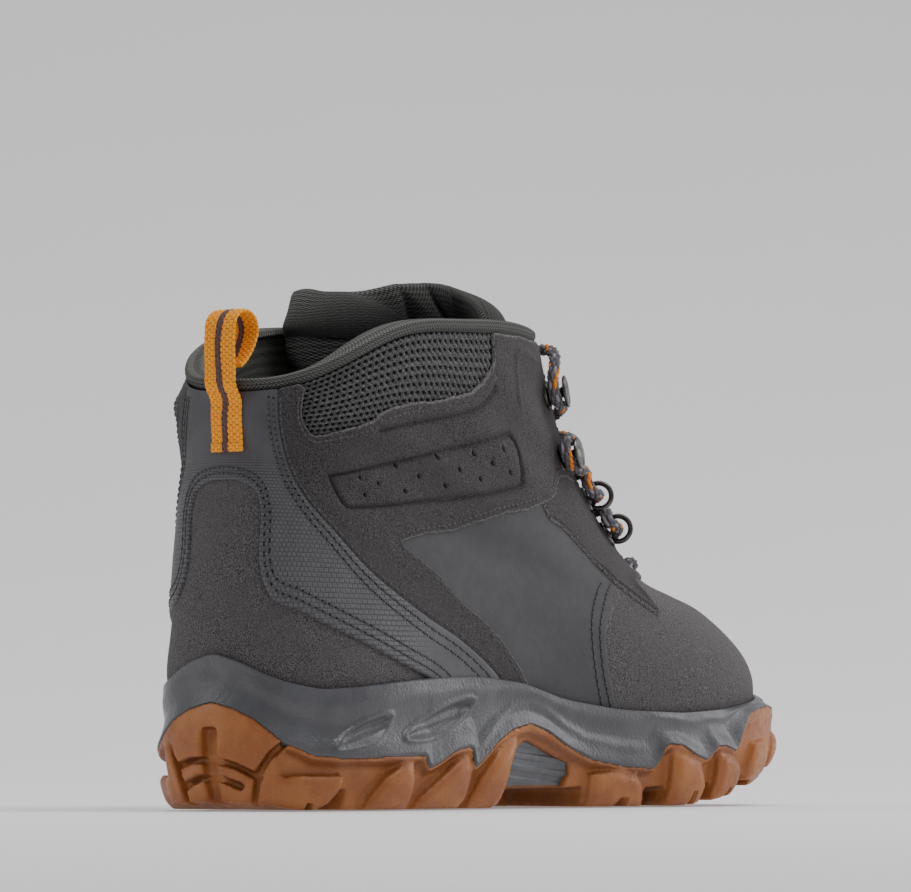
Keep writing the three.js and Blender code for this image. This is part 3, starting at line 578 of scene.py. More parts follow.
class Finish:
    """A material's node tree. Texture sizes are in millimetres."""

    def __init__(self, name, rough, **sockets):
        self.material = bpy.data.materials.new(name)
        self.material.use_nodes = True
        self.nodes, self.links = self.material.node_tree.nodes, self.material.node_tree.links
        self.shader = self.nodes["Principled BSDF"]
        for socket, value in {"Roughness": rough, **sockets}.items():
            self.shader.inputs[socket.replace("_", " ")].default_value = value
        place_node = self.nodes.new("ShaderNodeTexCoord")
        mapping = self.node("Mapping", Vector=place_node.outputs["Object"])
        mapping.inputs["Scale"].default_value = (1000, 1000, 1000)
        self.space = mapping.outputs[0]
        self.flat = place_node.outputs["UV"]
        self.last_bump = None

    def node(self, kind, **inputs):
        made = self.nodes.new("ShaderNode" + kind)
        for key, value in inputs.items():
            self.fill(made.inputs[key.replace("_", " ")], value)
        return made

    def fill(self, socket, value):
        if isinstance(value, bpy.types.NodeSocket):
            self.links.new(value, socket)
        else:
            socket.default_value = value

    def noise(self, size, detail=2, stretch=None):
        at = self.space
        if stretch:
            mapping = self.node("Mapping", Vector=at)
            mapping.inputs["Scale"].default_value = stretch
            at = mapping.outputs[0]
        return self.node("TexNoise", Vector=at, Scale=1 / size, Detail=detail).outputs[0]

    def cells(self, size):
        return self.node("TexVoronoi", Vector=self.space, Scale=1 / size).outputs["Distance"]

    def maths(self, operation, a, b=0.0):
        made = self.nodes.new("ShaderNodeMath")
        made.operation = operation
        self.fill(made.inputs[0], a)
        self.fill(made.inputs[1], b)
        return made.outputs[0]

    def ramp(self, value, low, high, to_low=0.0, to_high=1.0):
        made = self.node("MapRange", Value=value)
        for key, number in (("From Min", low), ("From Max", high), ("To Min", to_low), ("To Max", to_high)):
            made.inputs[key].default_value = number
        made.interpolation_type = "SMOOTHSTEP"
        return made.outputs[0]

    def mix(self, factor, a, b):
        made = self.nodes.new("ShaderNodeMix")
        made.data_type = "RGBA"
        self.fill(made.inputs[0], factor)
        self.fill(made.inputs[6], a)
        self.fill(made.inputs[7], b)
        return made.outputs[2]

    def value(self, label):
        """A value that the mesh carries per point."""
        made = self.nodes.new("ShaderNodeAttribute")
        made.attribute_name = label
        return made.outputs["Fac"]

    def across(self, pitch, axis=0, shift=0.0):
        """A wave along one flat axis, -1 to 1."""
        split = self.node("SeparateXYZ", Vector=self.flat)
        turned = self.maths("MULTIPLY_ADD", split.outputs[axis], 2 * math.pi / pitch)
        turned.node.inputs[2].default_value = shift
        return self.maths("SINE", turned)

    def bump(self, height, depth):
        made = self.node("Bump", Height=height, Distance=depth * MM, Strength=1.0)
        if self.last_bump:
            self.links.new(self.last_bump, made.inputs["Normal"])
        self.last_bump = made.outputs[0]
        self.links.new(self.last_bump, self.shader.inputs["Normal"])

    def colour(self, socket):
        self.fill(self.shader.inputs["Base Color"], socket)

    def rough(self, socket):
        self.fill(self.shader.inputs["Roughness"], socket)

    def fuzz(self, weight, colour, rough=0.5):
        self.shader.inputs["Sheen Weight"].default_value = weight
        self.shader.inputs["Sheen Roughness"].default_value = rough
        self.shader.inputs["Sheen Tint"].default_value = colour


def suede_material(name, base, nap, fleck):
    """Brushed split leather: fine flecks, patches where the nap turns, and a pale fuzzy cut edge."""
    f = Finish(name, 0.95, Specular_IOR_Level=0.15)
    grains = f.noise(0.42, 3)
    patches = f.noise(14, 3)
    tone = f.mix(f.ramp(grains, 0.36, 0.66), base, fleck)
    tone = f.mix(f.ramp(patches, 0.42, 0.62, 0, 0.42), tone, nap)
    cut = f.maths("MULTIPLY", f.ramp(f.value("depth"), 0.1, 0.75, 1, 0), f.ramp(f.noise(0.5, 2), 0.36, 0.62))
    tone = f.mix(cut, tone, tint(132, 128, 128))
    # Painted shade darkens the pressed groove, the dimples and the gap under the collar trim.
    f.colour(f.mix(f.maths("MULTIPLY", f.value("dent_shade"), 0.85), tone, tint(20, 19, 20)))
    f.fuzz(0.16, tint(170, 165, 165), 0.6)
    f.bump(f.noise(0.55, 3), 0.22)
    f.bump(f.noise(2.8, 2), 0.2)
    return f.material


def leather_material(name, base, nap):
    """Smooth coated leather with a faint pore."""
    f = Finish(name, 0.6, Specular_IOR_Level=0.32)
    f.colour(f.mix(f.ramp(f.noise(22, 2), 0.3, 0.7), base, nap))
    f.rough(f.ramp(f.noise(4, 3), 0.3, 0.7, 0.57, 0.64))
    f.bump(f.cells(0.75), 0.05)
    f.bump(f.noise(6, 2), 0.04)
    return f.material


def embossed_material():
    """Synthetic leather, plain at the top and pressed into rows of small bricks lower down, each brick face
    painted lighter as a highlight.
    """
    f = Finish("embossed", 0.5, Specular_IOR_Level=0.4)
    brick = f.node("TexBrick", Vector=f.flat, Scale=1.0, Mortar_Size=0.3, Mortar_Smooth=1.0, Bias=0.0,
                   Brick_Width=2.2, Row_Height=1.3)
    brick.inputs["Color1"].default_value = (1, 1, 1, 1)
    brick.inputs["Color2"].default_value = (0.72, 0.72, 0.72, 1)
    brick.inputs["Mortar"].default_value = (0, 0, 0, 1)
    high = f.node("SeparateXYZ", Vector=f.flat).outputs[1]
    low_down = f.ramp(high, 72, 92, 1, 0)
    forward = f.ramp(f.maths("ABSOLUTE", f.node("SeparateXYZ", Vector=f.flat).outputs[0]), 78, 96, 1, 0)
    pressed_and_lit = f.maths("MULTIPLY", f.maths("MULTIPLY", low_down, forward), brick.outputs["Color"])
    tone = f.mix(f.ramp(f.noise(10, 2), 0.35, 0.65), tint(68, 66, 69), tint(75, 73, 76))
    # Painted highlight: the brick faces are lighter than the mortar lines.
    f.colour(f.mix(f.maths("MULTIPLY", pressed_and_lit, 0.55), tone, tint(104, 102, 105)))
    f.rough(f.ramp(f.noise(0.4, 2), 0.3, 0.7, 0.46, 0.62))
    f.bump(pressed_and_lit, 0.34)
    f.bump(f.noise(0.5, 2), 0.05)
    return f.material


def knit_material(name, base, light, pitch=1.15, depth=0.22):
    """Fine warp knit: rows of small raised loops, each row half a loop along, with painted highlight on the
    loops and painted shade between them.
    """
    f = Finish(name, 0.9, Specular_IOR_Level=0.2)
    wale = f.across(pitch)
    course = f.across(pitch * 0.8, 1)
    leaning = f.across(pitch * 1.6, 1, 0.8)
    loops = f.maths("ADD", f.maths("MULTIPLY", wale, course), f.maths("MULTIPLY", leaning, 0.35))
    raised_and_lit = f.ramp(loops, -0.75, 0.8)
    # Painted light: the raised loops are lighter and the gaps between them darker.
    tone = f.mix(raised_and_lit, base, light)
    tone = f.mix(f.ramp(f.noise(0.35, 2), 0.4, 0.7, 0, 0.4), tone, light)
    f.colour(tone)
    f.fuzz(0.12, tint(170, 172, 166))
    f.bump(raised_and_lit, depth)
    f.bump(f.noise(0.3, 2), 0.08)
    return f.material


def mesh_material():
    """Open spacer mesh: pale strands round deep cells, each cell darkened with painted shade from a value that
    the mesh carries.
    """
    f = Finish("open_mesh", 0.75, Specular_IOR_Level=0.3)
    open_part = f.value("cell_shade")
    yarn = f.ramp(f.noise(0.45, 3, stretch=(1, 1, 2.4)), 0.4, 0.66)
    strand = f.mix(yarn, tint(46, 45, 46), tint(126, 124, 125))
    # Painted shade fills the open cells.
    f.colour(f.mix(f.ramp(open_part, 0.2, 0.75), strand, tint(26, 26, 27)))
    f.fuzz(0.1, tint(170, 170, 170))
    f.bump(f.noise(0.4, 3), 0.3)
    return f.material


def rubber_material():
    """Natural gum rubber: warm, a little waxy and mottled, with painted shade on faces that look down from
    above the ground.
    """
    f = Finish("gum_rubber", 0.42, Specular_IOR_Level=0.42, Subsurface_Weight=0.12, Subsurface_Scale=0.003)
    f.shader.inputs["Subsurface Radius"].default_value = (1.0, 0.45, 0.2)
    tone = f.mix(f.ramp(f.noise(12, 4), 0.35, 0.66), tint(146, 84, 38), tint(164, 102, 52))
    tone = f.mix(f.ramp(f.noise(0.8, 3), 0.52, 0.75, 0, 0.35), tone, tint(182, 124, 76))
    # Painted shade: faces that look down from above the ground darken toward a deep brown.
    underside_shade = f.ramp(f.value("underside_shade"), 0.0, 1.0, 0, 0.65)
    f.colour(f.mix(underside_shade, tone, tint(96, 52, 26)))
    f.rough(f.ramp(f.noise(2.2, 4), 0.3, 0.7, 0.36, 0.58))
    f.bump(f.cells(0.95), 0.07)
    f.bump(f.noise(0.5, 3), 0.06)
    return f.material


def midsole_material():
    """Moulded foam skin with a painted leather grain and gloss that varies at random."""
    f = Finish("midsole_skin", 0.45, Specular_IOR_Level=0.45)
    f.colour(f.mix(f.ramp(f.noise(11, 3), 0.35, 0.65), tint(74, 74, 77), tint(83, 83, 86)))
    f.rough(f.ramp(f.noise(3, 3), 0.3, 0.7, 0.3, 0.42))
    f.bump(f.cells(1.1), 0.09)
    f.bump(f.noise(0.6, 3), 0.05)
    return f.material


def webbing_material():
    """Woven tape: orange yarn in ribs with a dark band down the middle, and painted shade between the ribs,
    all carried by the mesh.
    """
    f = Finish("webbing", 0.72, Specular_IOR_Level=0.3)
    yarn = f.ramp(f.noise(0.3, 3), 0.3, 0.7)
    orange = f.mix(yarn, tint(255, 122, 0), tint(255, 196, 40))
    dark = f.mix(yarn, tint(58, 44, 46), tint(104, 86, 84))
    tone = f.mix(f.ramp(f.value("band"), 0.45, 0.55), orange, dark)
    # Painted shade darkens the low parts between the woven loops.
    f.colour(f.mix(f.ramp(f.value("valley_shade"), 0.3, 1.0, 0, 0.6), tone, tint(120, 48, 6)))
    f.fuzz(0.15, tint(255, 200, 140))
    f.bump(f.noise(0.25, 3), 0.1)
    return f.material


def metal_material():
    """Gunmetal plating with fine brushing and small scratches."""
    f = Finish("gunmetal", 0.3, Metallic=1.0)
    f.colour(f.mix(f.ramp(f.noise(3, 3), 0.35, 0.65), tint(74, 73, 70), tint(98, 96, 92)))
    f.rough(f.ramp(f.noise(0.6, 4, stretch=(1, 1, 8)), 0.3, 0.7, 0.22, 0.42))
    f.bump(f.noise(0.8, 3), 0.02)
    return f.material


def lace_material():
    """Round braid: grey and violet-grey yarns with orange ones in groups, and painted shade between the
    plaits, all carried by the mesh.
    """
    f = Finish("lace", 0.8, Specular_IOR_Level=0.25)
    yarn = f.ramp(f.noise(0.3, 3), 0.3, 0.7)
    grey = f.mix(yarn, tint(60, 55, 60), tint(116, 110, 116))
    tone = f.mix(f.value("pale"), grey, tint(138, 136, 138))
    orange = f.mix(yarn, tint(206, 104, 22), tint(246, 156, 52))
    tone = f.mix(f.value("fleck"), tone, orange)
    # Painted shade darkens the low parts between the plaits.
    f.colour(f.mix(f.ramp(f.value("valley_shade"), 0.35, 1.0, 0, 0.7), tone, tint(28, 25, 27)))
    f.fuzz(0.15, tint(190, 185, 190))
    f.bump(f.noise(0.2, 3), 0.06)
    return f.material


def thread_material():
    """Twisted sewing thread, with painted shade on the discs where it goes into its holes."""
    f = Finish("thread", 0.7, Specular_IOR_Level=0.3)
    thread = f.mix(f.ramp(f.noise(0.35, 3), 0.35, 0.65), tint(52, 50, 51), tint(92, 90, 91))
    f.colour(f.mix(f.value("hole"), thread, tint(14, 13, 14)))
    f.bump(f.noise(0.2, 2), 0.05)
    return f.material


def plain_material(name, low, high, rough, size=3.0, grain=0.05, **sockets):
    """A moulded or woven plain surface with slow colour and gloss changes and a fine grain."""
    f = Finish(name, rough, **sockets)
    f.colour(f.mix(f.ramp(f.noise(size, 4), 0.35, 0.65), low, high))
    f.rough(f.ramp(f.noise(size / 2, 3), 0.3, 0.7, rough - 0.06, rough + 0.08))
    f.bump(f.noise(0.6, 3), grain)
    return f.material


SUEDE = suede_material("suede", tint(50, 48, 49), tint(80, 77, 78), tint(104, 100, 101))
# A darker copy of the same suede for the ankle and eyestay panels: painted shade.
SHADED_SUEDE = suede_material("ankle_suede", tint(38, 36, 37), tint(62, 60, 61), tint(84, 81, 82))
LEATHER = leather_material("smooth_leather", tint(60, 59, 61), tint(64, 63, 65))
EMBOSSED = embossed_material()
TONGUE_KNIT = knit_material("tongue_knit", tint(22, 22, 22), tint(88, 90, 86), pitch=1.35, depth=0.3)
LINING_KNIT = knit_material("lining_knit", tint(30, 31, 29), tint(88, 90, 82), pitch=1.3)
BINDING_KNIT = knit_material("binding_knit", tint(34, 34, 33), tint(104, 104, 100), pitch=1.5, depth=0.34)
FOOTBED_CLOTH = knit_material("footbed_cloth", tint(34, 34, 34), tint(74, 74, 74), pitch=1.6)
OPEN_MESH = mesh_material()
RUBBER = rubber_material()
MIDSOLE = midsole_material()
WEBBING = webbing_material()
METAL = metal_material()
LACE = lace_material()
THREAD = thread_material()
ARCH = plain_material("arch_plastic", tint(82, 84, 88), tint(92, 94, 98), 0.5)
BOARD = plain_material("fibre_board", tint(120, 106, 84), tint(150, 134, 108), 0.85, 1.2, 0.08)
AGLET = plain_material("aglet_plastic", tint(28, 28, 30), tint(44, 44, 46), 0.25, 4)


# ---- outlines of the upper's panels, the same (u, v) points as the CAD model's ----------------------
HEEL_CUP_HALF = [(0, 0.638), (0.043, 0.628), (0.07, 0.595), (0.078, 0.535), (0.075, 0.41), (0.088, 0.345),
                 (0.135, 0.312), (0.2, 0.265), (0.278, 0.2), (0.34, 0.13), (0.37, 0)]
STRIP_REAR = [(0.113, 1), (0.108, 0.865), (0.113, 0.772), (0.13, 0.662), (0.16, 0.562), (0.2, 0.482),
              (0.25, 0.385), (0.323, 0.29), (0.365, 0.242), (0.41, 0.155), (0.45, 0)]
STRIP_FRONT = [(0.475, 0), (0.445, 0.158), (0.41, 0.278), (0.378, 0.338), (0.348, 0.413), (0.307, 0.485)]
ANKLE_LOW = [(0.35, 0.517), (0.403, 0.545), (0.485, 0.605), (0.588, 0.657), (0.65, 0.695), (0.69, 0.735)]
THROAT = [(0.93, 0.512), (0.885, 0.535), (0.868, 0.57), (0.858, 0.64), (0.848, 0.72), (0.838, 0.8),
          (0.828, 0.9), (0.82, 1)]
QUARTER_TOP = [(0.307, 0.485), (0.33, 0.503), (0.4, 0.535), (0.52, 0.595), (0.6, 0.623), (0.623, 0.61),
               (0.633, 0.565), (0.633, 0.492), (0.625, 0.443)]
QUARTER_FRONT = [(0.588, 0.37), (0.547, 0.265), (0.543, 0.182), (0.557, 0.068), (0.57, 0)]
MESH_LOW = [(0.165, 1), (0.155, 0.85), (0.172, 0.79), (0.235, 0.805), (0.29, 0.823), (0.318, 0.843),
            (0.438, 0.863), (0.535, 0.902), (0.578, 0.948), (0.58, 1)]
EYESTAY_TIP = [(0.632, 0.37), (0.649, 0.323), (0.671, 0.42), (0.75, 0.505), (0.85, 0.53)]
PATCH = [(0.203, 0.657), (0.568, 0.81), (0.585, 0.792), (0.568, 0.705), (0.552, 0.688), (0.238, 0.56),
         (0.223, 0.57)]
PATCH_HOLES = [(0.258, 0.66), (0.292, 0.647), (0.265, 0.608), (0.33, 0.7), (0.37, 0.68), (0.34, 0.635),
               (0.408, 0.733), (0.445, 0.71), (0.413, 0.665), (0.48, 0.753), (0.513, 0.738), (0.48, 0.695),
               (0.543, 0.772), (0.545, 0.723)]


def mirrored(points):
    return [(-u, v) for u, v in reversed(points)]


def to_side(line, side):
    """A flat line on the lateral side, or its mirror on the medial one."""
    return line if side == "lateral" else line[::-1] * (-1, 1)


def shifted(line, side):
    """The mirror of a line that reaches the toe, where u runs on to 2."""
    return line if side == "lateral" else line[::-1] * (-1, 1) + (2 * U_SCALE, 0)


vamp_half = QUARTER_FRONT[::-1] + [(0.61, 0.48), (0.85, 0.6)] + THROAT[2::-1]
WINDOW_TRIM = [(0.3, 0.81), (0.36, 0.823), (0.44, 0.842), (0.53, 0.878), (0.565, 0.912)]
HOOK_PIPING = [(0.622, 0.87), (0.634, 0.93), (0.648, 0.962), (0.735, 0.957)]


def grown(line, amount):
    return line - inward(line) * amount


HEEL_CUP = curve(HEEL_CUP_HALF + mirrored(HEEL_CUP_HALF[1:]))
heel_gap = HEEL_CUP_HALF[::-1] + [(-u, v) for u, v in HEEL_CUP_HALF[1:]]
STRIP = grown(curve(STRIP_REAR + heel_gap + mirrored(STRIP_REAR)), 1.0)
ANKLE = curve(STRIP_REAR + STRIP_FRONT + ANKLE_LOW + [(0.8, 0.745)] + THROAT[5:])
EYESTAY = curve([(0.81, 0.78), (0.66, 0.74), (0.6, 0.7)] + QUARTER_TOP[4:] + EYESTAY_TIP + THROAT[1:6])
QUARTER = curve(STRIP_FRONT + [(0.4, 0.62), (0.6, 0.69)] + QUARTER_TOP[5:] + QUARTER_FRONT)
VAMP = curve(vamp_half + [(1, 0.5)] + [(2 - u, v) for u, v in reversed(vamp_half)])
WINDOW = curve(MESH_LOW)
PATCH_LINE = resample(rounded(flat(PATCH + PATCH[:1]), closed=False, passes=3), 1.3)[:-1]


def fuzzy(line):
    """A cut edge that wanders a little."""
    at = np.arange(len(line))
    sway = np.sin(at * 0.9) + np.sin(at * 0.37 + 1) + np.sin(at * 2.1 + 2)
    return line + inward(line) * (sway * 0.11)[:, None]


def ridge(points, line, height, width):
    gap = distance_to(points, curve(line, closed=False), closed=False)
    return height * np.exp(-(gap / width) ** 2)


def ankle_relief(points, v, depth):
    """The pressed patch with its dimples, the trim below the collar window and the piping by the hooks, with
    painted shade for the groove, dimples and trim gap.
    """
    on_side = points if points[:, 0].mean() > 0 else points * (-1, 1)
    into = signed(on_side, PATCH_LINE)
    groove = np.exp(-((into + 0.1) / 0.85) ** 2)
    dimples = 0
    for hole in flat(PATCH_HOLES):
        dimples = dimples + 1 - smooth(0.35, 0.95, np.hypot(*(on_side - hole).T))
    trim_gap = ridge(on_side, [(a, b - 0.016) for a, b in WINDOW_TRIM], 1, 0.7)
    piping = ridge(on_side, HOOK_PIPING, 1, 0.9)
    creases = 0.3 * np.sin(0.11 * on_side[:, 0] + 0.31 * on_side[:, 1]) * smooth(2, 8, depth)
    lift = creases - 1.25 * groove - 1.5 * dimples - 0.9 * trim_gap
    lift = lift + ridge(on_side, WINDOW_TRIM, 0.45, 1) + 0.55 * piping
    return lift, np.clip(0.45 * groove + dimples + 0.5 * trim_gap, 0, 1)


def fine_points(side):
    """Mesh points close to the patch's groove, its dimples and the collar trim."""
    rows = [PATCH_LINE + inward(PATCH_LINE) * d for d in (-1.6, -1.0, -0.5, 0, 0.5, 1.0, 1.6)]
    turns = np.arange(8) * math.pi / 4
    around = np.stack([np.cos(turns), np.sin(turns)], 1)
    for radius in (0.001, 0.4, 0.75, 1.1):
        rows += [hole + around * radius for hole in flat(PATCH_HOLES)]
    for line in ([(a, b - 0.016) for a, b in WINDOW_TRIM], HOOK_PIPING):
        run = curve(line, closed=False)
        rows += [run + np.array([0, d]) for d in (-0.9, -0.4, 0, 0.4, 0.9)]
    return [row * (1 if side == "lateral" else -1, 1) for row in rows]


def vamp_relief(points, v, depth):
    """Creases where the foot bends, fading to the sides."""
    across = np.abs(points[:, 0] / U_SCALE - 1)
    at = np.exp(-((v - 0.47) / 0.07) ** 2) * np.exp(-(across / 0.2) ** 2)
    return 0.35 * np.sin((v - 0.33) * 60 + 6 * across**2) * at, 0 * v


def eyestay_relief(points, v, depth):
    """The rolled front edge down to the tip."""
    return 0.9 * np.exp(-((depth - 1.6) / 1.3) ** 2) * smooth(0.56, 0.5, v), 0 * v


def window_cells(u_from, u_to, v_from, side):
    """The collar's spacer mesh: a fine sheet with real oval cells, swollen by the padding behind it."""
    us = np.arange(u_from * U_SCALE, u_to * U_SCALE, 0.36)
    vs = np.arange(v_from * V_SCALE, V_SCALE + 0.01, 0.36)
    x, y = np.meshgrid(us, vs)
    tall, wide = 2.05, 3.7
    row = y / tall
    along = (x + 0.35 * y) / wide + 0.5 * (np.floor(row) % 2)
    cell_x = (along % 1 - 0.5) * wide
    cell_y = (row % 1 - 0.5) * tall
    gap = np.sqrt((cell_x / 1.4) ** 2 + ((cell_y - 0.12 * cell_x) / 0.66) ** 2)
    open_part = 1 - smooth(0.6, 1.12, gap)
    strand = 0.35 * np.sin(cell_x * 2.3 + cell_y * 2) * (1 - open_part)
    gap_in = signed(np.stack([x.ravel(), y.ravel()], 1), WINDOW).reshape(x.shape)
    puff = 2.3 * smooth(-1, 13, gap_in) * smooth(1.0, 0.9, y / V_SCALE)
    u = x / U_SCALE * (1 if side == "lateral" else -1)
    w = -0.35 + puff + strand - 1.15 * open_part
    back = skin(u, y / V_SCALE, np.full(u.shape, -1.7) + puff * 0.8)
    points, faces = thick_sheet(skin(u, y / V_SCALE, w), back, flip=side == "medial")
    # How open each point is, kept for the painted shade in the cells.
    cell_shade = np.concatenate([open_part.ravel(), np.zeros(x.size)])
    mesh_object("collar_mesh_cloth_" + side, points, faces, "boot", OPEN_MESH,
                ["collar_mesh_" + side], attributes={"cell_shade": cell_shade})


def double_row(line, first, second, skip=()):
    return offset_runs(line, first, skip) + offset_runs(line, second, skip)


def add_upper():
    """The panels, each with the outlines of those that lie over it."""
    quarter_low = grown(QUARTER, 0.8)
    over_vamp = [EYESTAY, shifted(EYESTAY, "medial"), quarter_low, shifted(quarter_low, "medial")]
    panel("heel_strip", STRIP, EMBOSSED, -0.1, 1.5, ["heel_overlay"], edge=1.1)
    panel("heel_suede", HEEL_CUP, SUEDE, -1.0, 1.2, ["heel_cup"], covers=[STRIP], step=2)
    for side in ("lateral", "medial"):
        ankle, window = to_side(ANKLE, side), fuzzy(to_side(WINDOW, side))
        eyestay, quarter = fuzzy(to_side(EYESTAY, side)), grown(to_side(QUARTER, side), 0.8)
        panel("ankle_suede_" + side, outside_of(fuzzy(ankle), window), SHADED_SUEDE, 0.0, 1.3,
              ["ankle_panel_" + side], covers=[STRIP], relief=ankle_relief, step=1.3, extra=fine_points(side))
        window_cells(0.145, 0.6, 0.77, side)
        panel("eyestay_suede_" + side, eyestay, SHADED_SUEDE, 0.0, 1.25, ["eyestay_" + side],
              covers=[ankle], relief=eyestay_relief, step=1.8)
        panel("side_leather_" + side, quarter, LEATHER, -0.9, 1.2, ["quarter_" + side],
              covers=[ankle, eyestay], edge=0.9)
    panel("toe_suede", fuzzy(VAMP), SUEDE, -0.9, 1.2, ["vamp"], covers=over_vamp, relief=vamp_relief,
          step=1.8)


def add_stitches():
    """Rows of thread along the seams, and their holes as dark discs of painted shade."""
    stitches("stitches_heel_strip", double_row(STRIP, 2.6, 5.2), 1.36)
    for side in ("lateral", "medial"):
        ankle, eyestay, quarter = (to_side(line, side) for line in (ANKLE, EYESTAY, QUARTER))
        window = grown(to_side(WINDOW, side), 2.4)
        runs = offset_runs(ankle, 1.9, [STRIP, grown(to_side(WINDOW, side), 3)])
        rim = runs_of(window, inside(window, ankle) & (signed(window, STRIP) < -0.5))
        stitches("stitches_ankle_" + side, runs + rim, 1.22)
        stitches("stitches_eyestay_" + side, offset_runs(eyestay, 1.9, [ankle]), 1.2)
        front = double_row(quarter, 1.6, 4.2, [ankle, eyestay])
        front = [part for run in front for part in
                 runs_of(run, (np.abs(run[:, 0]) > 0.52 * U_SCALE) & (run[:, 1] < 0.43 * V_SCALE))]
        stitches("stitches_side_" + side, front, 0.3)


def outside_of(line, window):
    """The outline with the collar window cut out of its top edge."""
    top = line[:, 1] > V_SCALE * 0.985
    keep = ~(inside(line, window) | (top & (np.abs(line[:, 0]) > np.abs(window[:, 0]).min())
                                     & (np.abs(line[:, 0]) < np.abs(window[:, 0]).max())))
    cut = int(np.argmin(keep))
    line, keep = np.roll(line, -cut, 0), np.roll(keep, -cut)
    kept = line[keep]
    below = longest_run(window, window[:, 1] < V_SCALE * 0.985)
    if np.linalg.norm(kept[-1] - below[0]) > np.linalg.norm(kept[-1] - below[-1]):
        below = below[::-1]
    return np.concatenate([kept, below])


def longest_run(points, good):
    start = int(np.argmin(good))
    points, good = np.roll(points, -start, 0), np.roll(good, -start)
    return points[good]


# ---- sole ----------------------------------------------------------------------------------------
# Outlines on the sole's wall are (u, z), and the wall runs about 290 mm per u like the upper.
GUM_LIP = ((0, 36), (0.034, 34), (0.066, 30.4), (0.107, 22.6), (0.147, 18.4), (0.191, 17.4), (0.249, 17.6),
           (0.305, 18.4), (0.312, 17.6), (0.316, 13.6), (0.334, 16.2), (0.35, 19.6), (0.368, 21),
           (0.376, 20.4),
           (0.379, 13.4), (0.388, 16.2), (0.407, 22.8), (0.426, 27.2), (0.449, 29.2), (0.468, 26.8),
           (0.492, 21), (0.516, 16.8), (0.55, 14.4), (0.583, 13.4), (0.59, 15.6), (0.595, 21), (0.601, 22.4),
           (0.617, 21.6), (0.633, 18), (0.648, 16.2), (0.655, 18), (0.662, 21.2), (0.674, 21.4), (0.693, 19),
           (0.706, 27), (0.722, 33.2), (0.75, 35.4), (0.79, 36.4), (0.85, 34.6), (0.92, 36.5), (1, 35))
LUGS = {
    "A": ([(0.076, 6.8), (0.1, 9.8), (0.13, 11.2), (0.198, 11.4), (0.195, 6.8), (0.178, 2), (0.16, 0),
           (0.095, 0), (0.08, 3)], (0.14, 8), 2.6),
    "B": ([(0.236, 0), (0.24, 4), (0.259, 10.6), (0.287, 16), (0.297, 15.2), (0.3, 6.6), (0.298, 0)],
          (0.287, 9), 2.6),
    "C": ([(0.307, 0), (0.315, 4), (0.333, 9), (0.356, 15.6), (0.372, 18), (0.377, 13.2), (0.375, 3),
           (0.368, 0)], (0.36, 10), 2.8),
    "D": ([(0.381, 0), (0.391, 9.6), (0.408, 18.2), (0.43, 25.2), (0.437, 22.8), (0.428, 15.6), (0.423, 2.8),
           (0.417, 0)], (0.412, 14), 2.6),
    "E": ([(0.52, 11.2), (0.545, 12.4), (0.569, 10.8), (0.577, 7.4), (0.581, 0), (0.522, 0)],
          (0.548, 8), 2.4),
    "F": ([(0.607, 19.2), (0.623, 18.6), (0.643, 15), (0.655, 6), (0.65, 0), (0.607, 0)], (0.622, 10), 2.6),
    "G": ([(0.668, 18.4), (0.69, 17.4), (0.707, 12.8), (0.712, 5), (0.705, 0), (0.668, 0)], (0.682, 10), 2.6),
    "H": ([(0.735, 22), (0.76, 24), (0.775, 18), (0.778, 4), (0.73, 4), (0.726, 12)], (0.752, 15), 2.4),
    "I": ([(0.8, 25), (0.835, 26), (0.85, 18), (0.852, 5), (0.798, 5), (0.794, 14)], (0.824, 16), 2.4),
    "J": ([(0.88, 25), (0.93, 26), (0.945, 17), (0.945, 6), (0.876, 6)], (0.91, 16), 2.2),
}
LUG_NOTCHES = [[(0.548, -1), (0.552, 3.2), (0.562, 3.2), (0.564, -1)],
               [(0.632, -1), (0.634, 5), (0.641, 5), (0.642, -1)],
               [(0.14, -1), (0.143, 2.4), (0.152, 2.4), (0.154, -1)],
               [(0.687, -1), (0.689, 4), (0.695, 4), (0.696, -1)]]
ARCH_WINDOW = [(0.42, -2), (0.43, 14.5), (0.447, 22.8), (0.453, 22.8), (0.499, 15), (0.503, 12.4), (0.5, 9.4),
               (0.497, 5), (0.497, -2)]
HEEL_SLOTS = [
    [(-0.013, 27.6), (0.013, 27.6), (0.012, -1), (-0.01, -1)],
    [(-0.078, 23), (-0.071, 22), (-0.052, 12), (-0.048, -1), (-0.06, -1), (-0.066, 12)],
    [(-0.068, 13.6), (-0.03, 16.6), (0.004, 17), (0.036, 15), (0.08, 9.8), (0.074, 7.4),
     (0.036, 12.4), (0.004, 14.4), (-0.028, 14), (-0.064, 11.2)],
    [(-0.056, 6.6), (-0.02, 9.8), (0.012, 10), (0.052, 6.6), (0.046, 4), (0.012, 7.4), (-0.02, 7.2),
     (-0.05, 4)],
    [(0.115, 22), (0.092, 17), (0.076, 10), (0.066, -1), (0.056, -1), (0.068, 12), (0.086, 19),
     (0.104, 22.8)],
]
TREAD_CUTS = [(31, 9, -8), (62, 4, -10), (93.5, 3.5, -8), (155, 7, 8), (197, 11, 8), (226, 9, 8), (250, 8, 8),
              (272, 6, 6)]
TREAD, WEB, WALL = 7.5, 12.0, 2.3        # tread depth, top of the web over it, thickness of the gum wall


def flare(z):
    return 4 * ((np.asarray(z, float) - 22) / 22) ** 2


def spring(points):
    """The toe and heel rise off the ground."""
    x, z = points[..., 0], points[..., 2]
    lift = (19 * smooth(205, 330, x) + 3.2 * (1 - smooth(0, 20, x))) * np.maximum(0, 1 - z / 24)
    return points + lift[..., None] * (0, 0, 1)


